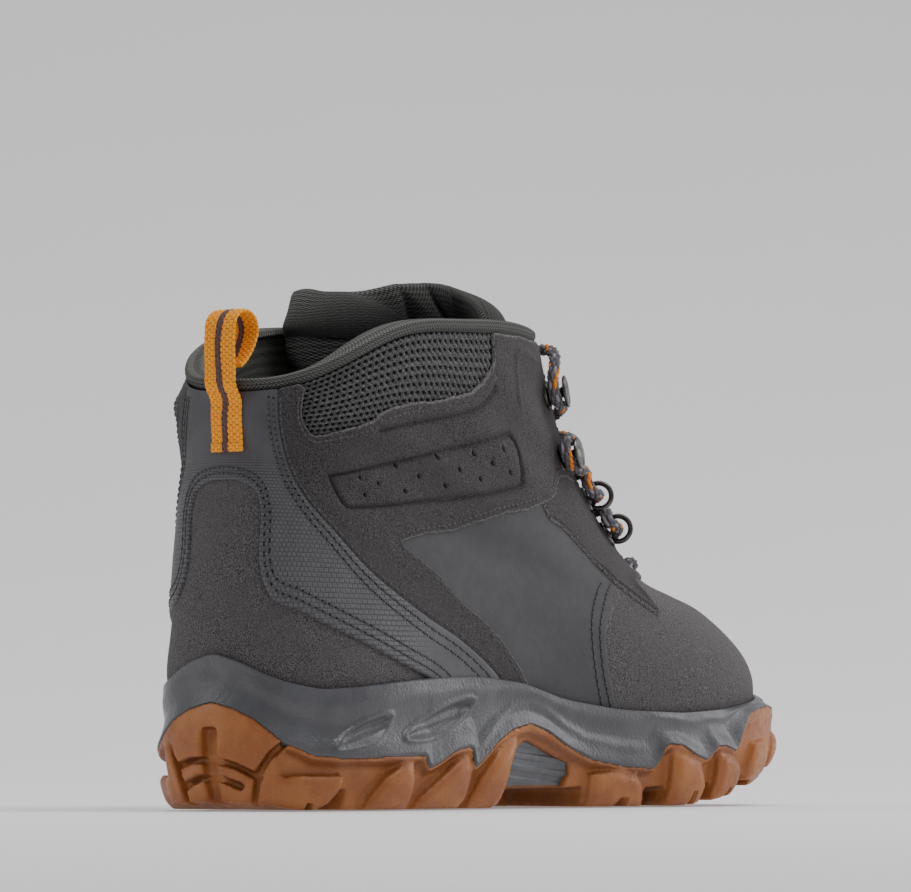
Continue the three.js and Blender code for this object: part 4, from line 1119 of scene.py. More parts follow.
def wall(u, z, out):
    """A point of the sole's side wall, moved outward."""
    u, z, out = np.broadcast_arrays(np.asarray(u, float), np.asarray(z, float), np.asarray(out, float))
    return plan(u, flare(z) - out) + z[..., None] * (0, 0, 1)


def recess(u):
    """How far the wall stands back between the heel block and the toe, where the lugs stand out of it."""
    at = folded(u)
    return 4.0 * smooth(0.085, 0.115, at) * (1 - 0.6 * smooth(0.7, 0.76, at))


def backing(u):
    """How much thicker the gum is behind the heel's slots."""
    return 4.5 * smooth(0.16, 0.12, folded(u))


LIP_LINE = eased(GUM_LIP, 0.007)


def lip(u):
    return np.interp(folded(u), *LIP_LINE)


def toward_spine(points, share):
    """Points drawn in to the middle line of the sole."""
    spine = np.stack([np.clip(points[..., 0], 48, 250), 0 * points[..., 1], points[..., 2]], -1)
    return spine + (points - spine) * share


def closed_rings(rings):
    """A closed body of rings and two flat caps."""
    count = len(rings[0])
    faces = ring_faces(len(rings), count, closed_ends=False)
    top = (len(rings) - 1) * count
    faces += [tuple(range(count - 1, -1, -1)), tuple(range(top, top + count))]
    return np.concatenate(rings), faces


def raw_object(name, points, faces):
    mesh = bpy.data.meshes.new(name)
    mesh.from_pydata(np.asarray(points, float).tolist(), [], [list(f) for f in faces])
    obj = bpy.data.objects.new(name, mesh)
    bpy.context.scene.collection.objects.link(obj)
    shaped = bmesh.new()
    shaped.from_mesh(mesh)
    bmesh.ops.recalc_face_normals(shaped, faces=shaped.faces)
    shaped.to_mesh(mesh)
    shaped.free()
    return obj


def wall_block(name, outline, out, into, side=1, crown=None):
    """A block on the wall, or a cutter through it, from a (u, z) outline. crown is its highest point."""
    line = resample(np.concatenate([flat_wall(outline), flat_wall(outline)[:1]]), 1.6 if crown else 0.9)[:-1]
    points, faces = cover_with_triangles(line, 2.4, (0.7, 1.6, 2.6) if crown else (0.5,))
    u, z = points[:, 0] / U_SCALE, points[:, 1]
    top = np.full(len(points), float(out))
    if crown:
        depth = distance_to(points, line)
        gap = np.hypot(*(points - flat_wall([crown])[0]).T)
        low = recess(u)
        top = (low + out) * (0.52 + 0.28 * smooth(0, 2.4, depth) + 0.2 * (1 - smooth(0, 13, gap))) - low
    back = np.full(len(points), -into)
    body = np.concatenate([wall(u * side, z, top), wall(u * side, z, back)])
    return raw_object(name, body, two_faced(faces, border_edges(faces), len(points)))


def flat_wall(points):
    return np.asarray(points, float) * (U_SCALE, 1)


def tread_cutter(x, width, shear):
    """A cut across the tread that bends at the middle line."""
    rows = []
    for y in (-70, 0, 70):
        middle = x + shear * (1 - abs(y) / 50)
        rows.append([(middle - width / 2, y, -6), (middle + width / 2, y, -6),
                     (middle + width / 2 + 0.8, y, TREAD - 0.8), (middle - width / 2 - 0.8, y, TREAD - 0.8)])
    faces = ring_faces(3, 4, closed_ends=False) + [(3, 2, 1, 0), (8, 9, 10, 11)]
    return raw_object("cut", np.concatenate(rows), faces)


def strip_cutter(line, width, low, high):
    """A groove along a line of (x, y) points."""
    line = np.asarray(line, float)
    run = unit(np.gradient(line, axis=0))
    side = np.stack([-run[:, 1], run[:, 0]], 1) * width / 2
    rings = [np.array([(*(p + s), low), (*(p - s), low), (*(p - s), high), (*(p + s), high)])
             for p, s in zip(line, side)]
    faces = ring_faces(len(rings), 4, closed_ends=False)
    last = 4 * (len(rings) - 1)
    faces += [(3, 2, 1, 0), (last, last + 1, last + 2, last + 3)]
    return raw_object("cut", np.concatenate(rings), faces)


def cut_all(obj, cutters):
    for cutter in cutters:
        modifier = obj.modifiers.new("cut", "BOOLEAN")
        modifier.operation, modifier.solver, modifier.object = "DIFFERENCE", "MANIFOLD", cutter
    bake_modifiers(obj)
    for cutter in cutters:
        bpy.data.objects.remove(cutter)


def bake_modifiers(obj):
    bpy.context.view_layer.update()
    graph = bpy.context.evaluated_depsgraph_get()
    mesh = bpy.data.meshes.new_from_object(obj.evaluated_get(graph))
    obj.modifiers.clear()
    obj.data = mesh


def mesh_points(obj):
    points = np.empty(len(obj.data.vertices) * 3, np.float32)
    obj.data.vertices.foreach_get("co", points)
    return points.reshape(-1, 3).astype(float)


def set_points(obj, points):
    obj.data.vertices.foreach_set("co", np.asarray(points, np.float32).ravel())
    obj.data.update()


def moulded(obj, voxel, smoothing):
    """One closed skin over overlapping bodies, with the small fillets of a mould."""
    remesh = obj.modifiers.new("skin", "REMESH")
    remesh.mode, remesh.voxel_size = "VOXEL", voxel
    bake_modifiers(obj)
    soften = obj.modifiers.new("soften", "SMOOTH")
    soften.factor, soften.iterations = 0.5, smoothing
    bake_modifiers(obj)


def add_outsole():
    us = np.arange(1120) / 560
    edge = lip(us)
    inset = recess(us)
    rings = [toward_spine(wall(us, 0 * us, -inset), share) for share in (0.03, 0.5)]
    for share in np.linspace(0, 1, 13):
        z = edge * share
        rings.append(wall(us, z, -inset * (1 - smooth(0.78, 0.97, share))))
    inner = -WALL - 0.2
    behind = inner - inset - backing(us)
    rings += [wall(us, edge, inner), wall(us, np.maximum(edge - 7, WEB) + 0.01, behind - 0.5),
              wall(us, WEB, behind - 0.6)]
    rings += [toward_spine(rings[-1], share) for share in (0.5, 0.03)]
    body = raw_object("gum", *closed_rings(rings))
    cutters = [tread_cutter(*cut) for cut in TREAD_CUTS]
    cutters.append(strip_cutter([(20, 0), (60, 2), (101, 0)], 9, -6, TREAD - 1))
    forefoot_groove = [(160, 6), (185, -3), (205, 5), (230, -3), (252, 5), (285, 0)]
    cutters.append(strip_cutter(forefoot_groove, 4.5, -6, TREAD - 2.5))
    cutters += [wall_block("cut", line, 8, 4.2) for line in HEEL_SLOTS]
    for side in (1, -1):
        cutters.append(wall_block("cut", ARCH_WINDOW, 8, 9, side))
    cutters.append(strip_cutter([(137, -60), (137, 60)], 40, -8, TREAD - 1))
    cut_all(body, cutters)
    lugs = [wall_block("lug", outline, height - 2.0, 12, side, crown)
            for outline, crown, height in LUGS.values() for side in (1, -1)]
    notches = [wall_block("cut", line, 8, 7, side) for line in LUG_NOTCHES for side in (1, -1)]
    joined = bmesh.new()
    for obj in [body, *lugs]:
        joined.from_mesh(obj.data)
    joined.to_mesh(body.data)
    joined.free()
    for lug in lugs:
        bpy.data.objects.remove(lug)
    moulded(body, 0.8, 1)
    cut_all(body, notches)
    points = spring(mesh_points(body))
    set_points(body, place(points))
    body.data.shade_smooth()
    body.name = "gum_outsole"
    # Painted shade under the sole: faces that look down and stand 2.5 to 7 mm or more over the ground.
    normals = np.empty(len(points) * 3, np.float32)
    body.data.vertices.foreach_get("normal", normals)
    facing_down = smooth(0.2, 0.9, -normals.reshape(-1, 3)[:, 2])
    underside_shade = body.data.attributes.new("underside_shade", "FLOAT", "POINT")
    ground = spring(points * (1, 0, 0))[:, 2]
    under = facing_down * smooth(2.5, 7, points[:, 2] - ground)
    underside_shade.data.foreach_set("value", under.astype(np.float32))
    finish_piece(body, "boot", RUBBER, ["outsole"])


LEAVES = [[(0.175, 19.8), (0.192, 25), (0.221, 30), (0.257, 32.4), (0.258, 29.4), (0.239, 23.4),
           (0.205, 20.6)],
          [(0.278, 24.4), (0.301, 29.8), (0.346, 36), (0.377, 38), (0.369, 33), (0.327, 24.6),
           (0.29, 23.4)]]


def midsole_lift(share, at, over_lip, flat_points, leaf_lines):
    """How far the midsole's skin swells, by its share of the height and its place along the boot."""
    lift = 1.3 * np.exp(-((share - 0.72) / 0.2) ** 2) * smooth(0.02, 0.12, at) * smooth(0.36, 0.2, at)
    lift += 0.8 * np.exp(-((share - 0.83) / 0.12) ** 2) * smooth(0.1, 0.3, at)
    lift -= 0.9 * np.exp(-((share - 0.42) / 0.22) ** 2) * smooth(0.14, 0.3, at) * smooth(0.75, 0.6, at)
    lift += 0.8 * np.exp(-((over_lip - 7.5) / 2.2) ** 2) * smooth(0.34, 0.4, at) * smooth(0.62, 0.54, at)
    for line in leaf_lines:
        into = signed(flat_points, line)
        lift += 0.75 * np.exp(-((into + 0.5) / 0.9) ** 2) - 0.8 * smooth(0.2, 2.2, into)
        crease = distance_to(flat_points, line[[0, len(line) // 2]], closed=False)
        lift += 0.7 * np.exp(-(crease / 0.9) ** 2) * smooth(-0.2, 0.6, into)
    return lift


def add_midsole():
    us = np.arange(1280) / 640
    edge, rim = lip(us) - 0.35, cup_height(us)
    level = level_at(us, rim)
    floor = wall(us, WEB + 0.4, -12)
    rings = [toward_spine(floor, 0.03), toward_spine(floor, 0.5),
             wall(us, WEB + 0.4 + 0 * us, -WALL - 5.2 - backing(us)),
             wall(us, np.maximum(edge - 6.4, WEB + 0.5), -WALL - 4.9 - backing(us)),
             wall(us, edge - 0.3, -WALL - 0.4)]
    at = folded(us)
    leaf_lines = [rounded(flat_wall(leaf), passes=2) for leaf in LEAVES]
    for share in np.linspace(0, 1, 46):
        z = edge + (rim - edge) * share
        low_point = wall(us, z, 0.25 - 0.9 * (1 - smooth(0, 0.05, share)))
        high_point = skin(us, level_at(us, z), 2.3 + 0 * us)
        p = low_point * (1 - share**1.35) + high_point * share**1.35
        p[:, 2] = z
        out = unit((wall(us, z, 1) - wall(us, z, 0)) * (1, 1, 0))
        lift = midsole_lift(share, at, z - edge, np.stack([at * U_SCALE, z], 1), leaf_lines)
        rings.append(p + out * (lift * smooth(0, 0.08, share) * smooth(1, 0.96, share))[:, None])
    top_out, inner_rim = skin(us, level, 2.3 + 0 * us), skin(us, level, 0.75 + 0 * us)
    rings += [top_out * 0.5 + inner_rim * 0.5 + (0, 0, 0.5), inner_rim]
    deep = level_at(us, 24.4 + 0 * us)
    rings.append(skin(us, deep, 0.7 + 0 * us))
    rings.append(toward_spine(rings[-1] * (1, 1, 0) + (0, 0, 23.4), 0.9))
    rings += [toward_spine(rings[-1], part) for part in (0.5, 0.04)]
    points, faces = closed_rings(rings)
    mesh_object("foam_midsole", spring(points), faces, "boot", MIDSOLE, ["midsole"], sharp=55)


def add_arch_plate():
    """The ribbed shank plate that shows in the windows of the arch, one body right through the sole."""
    us, z = np.meshgrid(np.linspace(0.408, 0.515, 60), np.linspace(7.6, 23.5, 70))
    rib = 0.55 * smooth(-0.4, 0.5, np.sin((z + (us - 0.45) * 150 * 0.28) * 2 * math.pi / 4.2))
    depth = -5.2 - (15 - np.minimum(z, 15)) * 0.22
    points, faces = thick_sheet(wall(us, z, depth + rib), wall(-us, z, depth), flip=True)
    points[:, 2] = np.minimum(points[:, 2], 23.2)
    mesh_object("ribbed_arch_plate", spring(points), faces, "boot", ARCH, ["arch_plate"],
                sharp=50)


# ---- collar, lining and tongue -------------------------------------------------------------------
def collar_depth(u, v):
    return 5.3 * smooth(0.7, 0.84, v) * (1 - smooth(0.5, 0.64, np.abs(u)))


def arc_length(points):
    return np.concatenate([[0], np.cumsum(np.linalg.norm(np.diff(points, axis=0), axis=1))])


def add_binding():
    """The knit roll over the collar's rim: a firm outer band, a crease, and the soft inner roll."""
    us = np.linspace(-0.79, 0.79, 620)
    rim = upper(us, 1)
    out = unit(normal(us, 0.999) * (1, 1, 0))
    half = 2.3 + 0.75 * collar_depth(us, 1)
    turns = np.linspace(0, 2 * math.pi, 40, endpoint=False)
    end = np.sqrt(np.clip(1 - (np.abs(us) / 0.7915) ** 60, 0.02, 1))
    rings = []
    for turn in turns:
        across, rise = math.cos(turn), math.sin(turn)
        square = 1 / (abs(across) ** 3.2 + abs(rise) ** 3.2) ** (1 / 3.2)
        bulge = 1.9 * (1 - abs(rise)) * max(0, -across) * smooth(0, 1, half / 5)
        middle = rim + out * (0.7 - half)[:, None] + (0, 0, 2.3)
        crease = 0.5 * math.exp(-((turn - 0.9) / 0.22) ** 2)
        crease += 0.35 * math.exp(-((turn - 2 * math.pi + 0.5) / 0.2) ** 2)
        p = middle + out * ((half * across * square - bulge - crease) * end)[:, None]
        p[:, 2] += rise * square * 2.5 * end - crease * 0.3
        rings.append(p)
    points = np.stack(rings, 1).reshape(-1, 3)
    ends = [points[:40].mean(0), points[-40:].mean(0)]
    along = arc_length(rim)
    around = turns / (2 * math.pi) * 20
    uv = np.stack([np.repeat(along, 40), np.tile(around, len(us))], 1)
    uv = np.concatenate([uv, uv[:1], uv[-1:]])
    mesh_object("collar_roll", np.concatenate([points, ends]), ring_faces(len(us), 40), "boot", BINDING_KNIT,
                ["collar_binding", "collar_padding"], uv=uv)


def throat_half(z):
    return np.interp(z, (60, 76, 84, 92, 128, 172), (0, 12, 21, 24, 26, 30))


def add_lining():
    """The knit inside the boot, swollen by the collar's foam and open at the throat."""
    rows, columns = 150, 560
    u = (np.arange(columns) / columns * 2 - 1)[None] * np.ones((rows, 1))
    v = np.linspace(0.03, 1.0, rows)[:, None] * np.ones((1, columns))
    swell = collar_depth(u, v) * 1.15
    seam = 0.7 * np.exp(-((v - 0.7) / 0.012) ** 2) + 0.5 * np.exp(-((u) / 0.006) ** 2)
    inner = skin(u, v, -6.1 - swell + seam)
    outer = skin(u, v, -4.8 - collar_depth(u, v))
    inner[..., 2] += 2.4 * smooth(0.9, 1, v)
    outer[..., 2] += 2.4 * smooth(0.9, 1, v)
    at = np.arange(rows * columns).reshape(rows, columns)
    faces = np.stack([at[:-1], np.roll(at, -1, 1)[:-1], np.roll(at, -1, 1)[1:], at[1:]], -1).reshape(-1, 4)
    middle = outer.reshape(-1, 3)[faces].mean(1)
    in_front = (middle[:, 0] > 120) & (middle[:, 2] > 60)
    open_front = in_front & (np.abs(middle[:, 1]) < throat_half(middle[:, 2]))
    faces = faces[~open_front]
    halves = np.concatenate([faces[:, [0, 1, 2]], faces[:, [0, 2, 3]]])
    points = np.concatenate([outer.reshape(-1, 3), inner.reshape(-1, 3)])
    uv = np.stack([u.ravel() * U_SCALE, v.ravel() * V_SCALE], 1)
    faces = two_faced(faces, border_edges(halves), rows * columns)
    mesh_object("knit_lining", points, faces, "boot", LINING_KNIT, ["lining"],
                uv=np.concatenate([uv, uv]), sharp=70)


def add_footbed():
    """A moulded insole: its edge rises round the heel, with a shallow cup."""
    us = np.arange(400) / 200
    edge = wall(us, 22 + 0 * us, -8.4) * (1, 1, 0)
    rings = [toward_spine(edge + (0, 0, 27), share) for share in (0.03, 0.5)]
    rings += [edge + (0, 0, 27)]
    rise = 2.5 * smooth(0.5, 0.2, folded(us))
    rings += [edge + np.stack([0 * us, 0 * us, 31 + rise], 1)]
    for share in (0.985, 0.94, 0.86, 0.74, 0.55, 0.3, 0.03):
        p = toward_spine(edge, share)
        p[:, 2] = 31.4 + rise * smooth(0.7, 1, share)
        rings.append(p)
    points, faces = closed_rings(rings)
    mesh_object("insole", points, faces, "boot", FOOTBED_CLOTH, ["footbed"], sharp=60,
                uv=points[:, :2])


TONGUE_SEAM = 0.7                       # share of the tongue's length where it leaves the throat
FOLDS = ((0.44, 0.11), (0.2, 0.1))      # at the top edge, and how far each leans on its way down
# The tongue's top edge, as s across it and x, y, z.
TONGUE_TOP = [(-1, 130.5, -26, 169.5), (-0.7, 136.5, -16, 180.2), (-0.35, 143.5, -5, 184.6), (0, 141, 5, 188),
              (0.35, 127, 15, 187.4), (0.7, 104.5, 23, 182.4), (0.85, 92.5, 25.5, 179.6), (1, 82, 27, 174.6)]


def tongue_front(t, s):
    """The tongue's outer face. t runs from its foot to its top edge, s from -1 lateral to 1 medial."""
    def in_throat(t):
        v = 0.47 + 0.53 * t / TONGUE_SEAM
        wing = smooth(0.45, 1, s) * smooth(0.35, 0.68, t)
        u = 1 + 0.31 * s + 0.26 * wing
        reach = smooth(0.15, 0.5, np.abs(s)) - 1
        depth = 8 + 4.5 * (1 - smooth(0.55, 0.72, v)) + 3.4 * reach * smooth(0.6, 0.75, v) + 7 * wing
        return upper(u, v) - normal(u, v, 0.03) * depth[..., None]
    share = np.clip((t - TONGUE_SEAM) / (1 - TONGUE_SEAM), 0, 1)
    line = rounded(np.array(TONGUE_TOP), closed=False, passes=3)
    top = np.stack([np.interp(s, line[:, 0], line[:, k]) for k in (1, 2, 3)], -1)
    seam = in_throat(np.minimum(t, TONGUE_SEAM))
    swell = np.sin(math.pi * share)[..., None]
    bulge = swell * (3.2, 0, 1) + swell * smooth(0.6, 1, s)[..., None] * (-10.5, 0, -2.5)
    return seam + (top - seam) * share[..., None] + bulge


def add_tongue():
    """One padded knit piece: slim in the throat and plump above it, with two folds down its inner face."""
    rows, columns = 210, 150
    turn = np.linspace(-math.pi / 2, math.pi / 2, columns)
    s = (0.6 * np.sin(turn) + 0.4 * turn / (math.pi / 2))[None] * np.ones((rows, 1))
    rise = np.linspace(0, 1, rows)
    t = (1 - (1 - rise) ** 1.5)[:, None] * np.ones((1, columns))
    front = tongue_front(t, s)
    run = np.gradient(front, axis=1)
    climb = np.gradient(front, axis=0)
    inward_way = -unit(np.cross(run, climb))
    inward_way *= np.sign(-inward_way[rows // 2, columns // 2, 0])
    plump = 3.2 + 8.3 * smooth(0.5, 0.85, t)
    top_edge = np.clip((t - 0.86) / 0.14, 0, 1)
    rounding = np.sqrt(np.clip(1 - np.abs(s) ** 7, 0.0, 1)) * np.sqrt(np.clip(1 - top_edge**2, 0, 1))
    for at, lean in FOLDS:
        gap = s - at - lean * (1 - t) * 8
        fading = smooth(0.62, 0.74, t) * (1 - 0.65 * smooth(0.9, 1, t))
        plump = plump - 3.8 * np.exp(-(np.abs(gap) / 0.03) ** 1.2) * fading
    plump += 0.5 * np.sin(9 * s + 4 * t) * smooth(0.6, 0.8, t)
    thick = np.maximum(0.5, plump * rounding)
    shy = (plump - thick) * 0.45
    outer = front + inward_way * shy[..., None]
    points, faces = thick_sheet(outer, front + inward_way * (shy + thick)[..., None])
    uv = np.stack([s * 46, t * 130], -1).reshape(-1, 2)
    tongue = mesh_object("padded_tongue", points, faces, None, TONGUE_KNIT,
                         ["tongue_body", "tongue_top"], uv=np.concatenate([uv, uv]))
    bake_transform(tongue)


# ---- pull tab ------------------------------------------------------------------------------------
TAB_WIDTH, TAB_THICK, TAB_LOW, TAB_TOP, TAB_X, RIM_Z = 13.0, 1.5, 119.8, 168.0, 3.4, 141.0


def tab_line():
    """The middle of the tape, in (x, z): up the heel, round the loop and down again."""
    low = [skin(0.0, float(level_at(0, z)), 1.15) for z in np.linspace(TAB_LOW, 137, 5)]
    foot = [(p[0], p[2]) for p in low] + [(TAB_X - 0.3, RIM_Z + 1), (TAB_X + 0.2, RIM_Z + 5.6)]
    radius = 6.7 - TAB_THICK / 2
    centre = (TAB_X + 6.7, TAB_TOP - 6.7)
    turn = np.linspace(math.pi + 0.15, -0.35, 9)
    loop = [(centre[0] + radius * math.cos(a), centre[1] + radius * math.sin(a)) for a in turn]
    back = [(TAB_X + 9.4, RIM_Z + 13), (TAB_X + 5.6, RIM_Z + 9), (TAB_X + 2.9, RIM_Z + 7.4)]
    points = rounded(foot + loop + back, closed=False, passes=3)
    return resample(points, 0.3)


def add_tab():
    line = tab_line()
    run = unit(np.gradient(line, axis=0))
    out = np.stack([-run[:, 1], 0 * run[:, 0], run[:, 0]], 1)
    middle_y = float(upper(0.0, 0.9)[1]) - 2.4
    along = arc_length(line)
    half = TAB_WIDTH / 2
    across = np.linspace(-half, half, 66)
    y, a = np.meshgrid(across, along)
    column = (y + 20) / 1.3
    row = a / 2.0 + 0.5 * (np.floor(column) % 2)
    loop_height = np.abs(np.sin(math.pi * row)) ** 0.8 * (0.4 + 0.6 * np.abs(np.sin(math.pi * column)))
    edge = np.sqrt(np.clip(1 - (np.abs(y) / (half + 0.02)) ** 16, 0.04, 1))
    hem = 0.7 * smooth(3.6, 2.8, a)
    bar = -0.5 * np.exp(-((a - 20) / 0.5) ** 2)
    high = (TAB_THICK / 2 - 0.38) * edge + 0.5 * loop_height * edge + hem + bar
    wander = 0.35 * np.sin(a * 0.23)
    spine = np.stack([line[:, 0], 0 * line[:, 0] + middle_y, line[:, 1]], 1)
    base = spine[:, None] + np.stack([0 * y, y + 0.9 * np.sin(a * 0.05) * smooth(24, 40, a), 0 * y], -1)
    front = base + out[:, None] * high[..., None]
    points, faces = thick_sheet(front, base - out[:, None] * (high - hem)[..., None])
    band = (np.abs(y - wander) < 1.35).astype(float)
    # The second value is painted shade between the woven loops.
    values = {"band": np.tile(band.ravel(), 2), "valley_shade": np.tile(1 - loop_height.ravel(), 2)}
    tab = mesh_object("webbing_loop", points, faces, None, WEBBING,
                      ["pull_tab_anchor", "pull_loop"], attributes=values)
    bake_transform(tab)


# ---- lacing hardware -----------------------------------------------------------------------------
HOOKS = {"upper": (0.767, 0.905), "lower": (0.735, 0.785)}
RINGS = {"upper": (0.815, 0.705), "lower": (0.822, 0.632)}
EYELET_AT = (0.898, 0.555)


def frame_at(u, v, w, side):
    """A point on the upper and the directions away from it, toward the throat and up."""
    uu = u if side == "lateral" else 2 - u
    at = skin(uu, v, w) - normal(uu, v) * ripple(uu, v)
    out = normal(uu, v)
    toward = unit(upper(uu + (0.01 if side == "lateral" else -0.01), v) - upper(uu, v))
    rise = np.cross(out, toward) if side == "lateral" else np.cross(toward, out)
    return at, out, unit(toward), unit(rise)


def turned(profile, count=56):
    """Points and faces of a lathed (radius, height) profile that starts and ends on its axis."""
    turns = np.arange(count) * 2 * math.pi / count
    rings = [circle(r, h, turns) for r, h in profile[1:-1]]
    ends = [(0, 0, profile[0][1]), (0, 0, profile[-1][1])]
    return np.concatenate([*rings, ends]), ring_faces(len(rings), count)


def set_on(points, at, out, toward, rise):
    return at + points[:, :1] * toward + points[:, 1:2] * rise + points[:, 2:] * out


HOOK_PROFILE = [(0, -0.8), (4.6, -0.8), (5.0, -0.5), (5.0, 0.35), (4.5, 0.8), (3.2, 1.0), (2.2, 1.4),
                (1.65, 2.2), (1.5, 3.4), (1.55, 4.6), (2.1, 5.6), (3.6, 6.05), (5.2, 6.2), (5.75, 6.5),
                (5.8, 6.9), (5.5, 7.25), (4.6, 7.4), (4.1, 7.15), (2.4, 7.05), (1.9, 7.35), (0.9, 7.6),
                (0, 7.65)]
WASHER_PROFILE = [(3.1, -1.2), (3.1, 0.6), (3.4, 1.0), (4.0, 1.15), (4.8, 0.95), (5.2, 0.4), (5.2, 0.0),
                  (3.6, -0.2), (3.5, -1.2)]


def add_hardware():
    for side in ("lateral", "medial"):
        for name, (u, v) in HOOKS.items():
            points, faces = turned(HOOK_PROFILE)
            label = f"{name}_{side}"
            mesh_object("speed_hook_" + label, set_on(points, *frame_at(u, v, 1.3, side)), faces, "boot",
                        METAL, ["hook_" + label], sharp=35)
        for name, (u, v) in RINGS.items():
            add_ring(f"{name}_{side}", frame_at(u, v, 1.4, side))
        add_eyelet(side)


def add_ring(label, where):
    """A folded keeper plate with a rivet, and the oval ring that it holds."""
    half_x, half_y = 4.0, 5.0
    outline = rounded([(-half_x, -half_y), (half_x, -half_y), (half_x, half_y), (-half_x, half_y)], passes=3)
    layers = [(0.94, -0.6), (1.0, -0.35), (1.0, 0.35), (0.92, 0.65)]
    rings = [np.column_stack([outline * scale, np.full(len(outline), h)]) for scale, h in layers]
    points, faces = closed_rings(rings)
    rivet, rivet_faces = turned([(0, 0.5), (1.9, 0.5), (1.9, 0.9), (1.4, 1.25), (0.7, 1.4), (0, 1.45)], 28)
    shift = len(points)
    points = np.concatenate([points, rivet + (-0.6, 0, 0)])
    faces = [*faces, *[tuple(i + shift for i in f) for f in rivet_faces]]
    turns = np.arange(72) * 2 * math.pi / 72
    centre = np.stack([0 * turns + 3.5, 4.6 * np.cos(turns), 4.4 + 4.6 * np.sin(turns)], 1)
    radial = np.stack([0 * turns, np.cos(turns), np.sin(turns)], 1)
    tube = np.arange(20) * 2 * math.pi / 20
    hoop = (centre[:, None] + radial[:, None] * (0.95 * np.cos(tube))[None, :, None]
            + (0.9 * np.sin(tube))[None, :, None] * np.array([1.0, 0, 0])).reshape(-1, 3)
    faces = [*faces, *(hoop_faces(72, 20) + len(points)).tolist()]
    points = np.concatenate([points, hoop]) + (-2.0, 0, 0)
    mesh_object("lace_ring_" + label, set_on(points, *where), faces, "boot", METAL,
                ["lacing_ring_" + label], sharp=35)


def add_eyelet(side):
    turns = np.arange(48) * 2 * math.pi / 48
    points = np.concatenate([circle(r, h, turns) for r, h in WASHER_PROFILE])
    faces = hoop_faces(len(WASHER_PROFILE), 48).tolist()
    mesh_object("rolled_eyelet_" + side, set_on(points, *frame_at(*EYELET_AT, 0.7, side)), faces, "boot",
                METAL, ["eyelet_" + side], sharp=40)


# ---- lace: the CAD model's route, with the last crossing raised -------------------------------------
# Each place of a half lace is (u, v, height over the upper), or the lower or upper strand of a crossing.
LACE_RADIUS, UNDER, OVER = 2.1, -1.6, 3.0
BAR_MIDDLE = (1, 0.556, 4.2)
STRAND = [(0.955, 0.556, 4.6), (0.925, 0.556, 4.8), (0.905, 0.556, 3.4), (0.898, 0.556, 0.6),
          (0.898, 0.56, -3.2), (0.915, 0.576, -5.6), (0.955, 0.588, -4.8), (1, 0.602, "first"),
          (1.07, 0.617, 2.2), (1.12, 0.627, 4.4), (1.15, 0.63, 5.4), (1.178, 0.632, 5.8),
          (1.206, 0.636, 5.8), (1.222, 0.652, 5), (1.206, 0.6665, 5.3), (1.172, 0.667, 5.3),
          (1.09, 0.679, 4.6), (1, 0.69, "second"), (0.9, 0.702, 4.8), (0.85, 0.706, 5.8),
          (0.812, 0.7065, 5.9), (0.786, 0.71, 5.6), (0.771, 0.727, 5), (0.787, 0.745, 5), (0.83, 0.751, 5),
          (0.91, 0.757, 3.8), (1, 0.763, "first"), (1.1, 0.763, 3.6), (1.19, 0.758, 4.8),
          (1.25, 0.757, 5.2), (1.284, 0.767, 5.2), (1.293, 0.785, 5.2), (1.284, 0.804, 5.2),
          (1.25, 0.813, 5.1), (1.18, 0.82, 4.8), (1.09, 0.832, 4), (1, 0.85, "second"), (0.91, 0.868, 4),
          (0.83, 0.88, 4.7), (0.78, 0.88, 4.9), (0.748, 0.887, 5), (0.739, 0.906, 5), (0.744, 0.93, 5.2),
          (0.768, 0.956, 5.8), (0.81, 0.978, 5.8), (0.87, 0.99, 4.8), (0.94, 0.99, 3.2),
          (1, 0.982, "first"), (1.06, 0.97, 1.4), (1.11, 0.952, -1), (1.15, 0.932, -4),
          (1.175, 0.906, -5.1), (1.185, 0.87, -5.1), (1.186, 0.82, -5.1), (1.184, 0.77, -5.1)]


def lace_points():
    def strand(side):
        for u, v, w in STRAND:
            if isinstance(w, str):
                low_side = UNDER - 3.5 if v < 0.62 else UNDER
                w = OVER + low_side - UNDER if (w == "second") == (side == "lateral") else low_side
            uu = u if side == "lateral" else 2 - u
            yield upper(uu, v) + normal(uu, v) * w
    bar = upper(BAR_MIDDLE[0], BAR_MIDDLE[1]) + normal(*BAR_MIDDLE[:2]) * BAR_MIDDLE[2]
    return np.array([*list(strand("lateral"))[::-1], bar, *strand("medial")])


def through(points, step):
    """A centripetal Catmull-Rom curve through the points."""
    p = np.concatenate([[2 * points[0] - points[1]], points, [2 * points[-1] - points[-2]]])
    knots = np.concatenate([[0], np.cumsum(np.sqrt(np.linalg.norm(np.diff(p, axis=0), axis=1)))])
    line = []
    for i in range(1, len(p) - 2):
        a, b, c, d = knots[i - 1:i + 3]
        t = np.linspace(b, c, 24, endpoint=False)[:, None]
        one = ((b - t) * p[i - 1] + (t - a) * p[i]) / (b - a)
        two = ((c - t) * p[i] + (t - b) * p[i + 1]) / (c - b)
        three = ((d - t) * p[i + 1] + (t - c) * p[i + 2]) / (d - c)
        four = ((c - t) * one + (t - a) * two) / (c - a)
        five = ((d - t) * two + (t - b) * three) / (d - b)
        line.append(((c - t) * four + (t - b) * five) / (c - b))
    return resample(np.concatenate([*line, p[-2:-1]]), step)


def carried_frame(line):
    """Side and up directions that turn as little as they can along a line."""
    run = unit(np.gradient(line, axis=0))
    side = unit(np.cross(run[0], (0.0, 0.1, 1.0)))
    sides = []
    for direction in run:
        side = unit(side - direction * (side @ direction))
        sides.append(side)
    sides = np.array(sides)
    return sides, np.cross(run, sides)


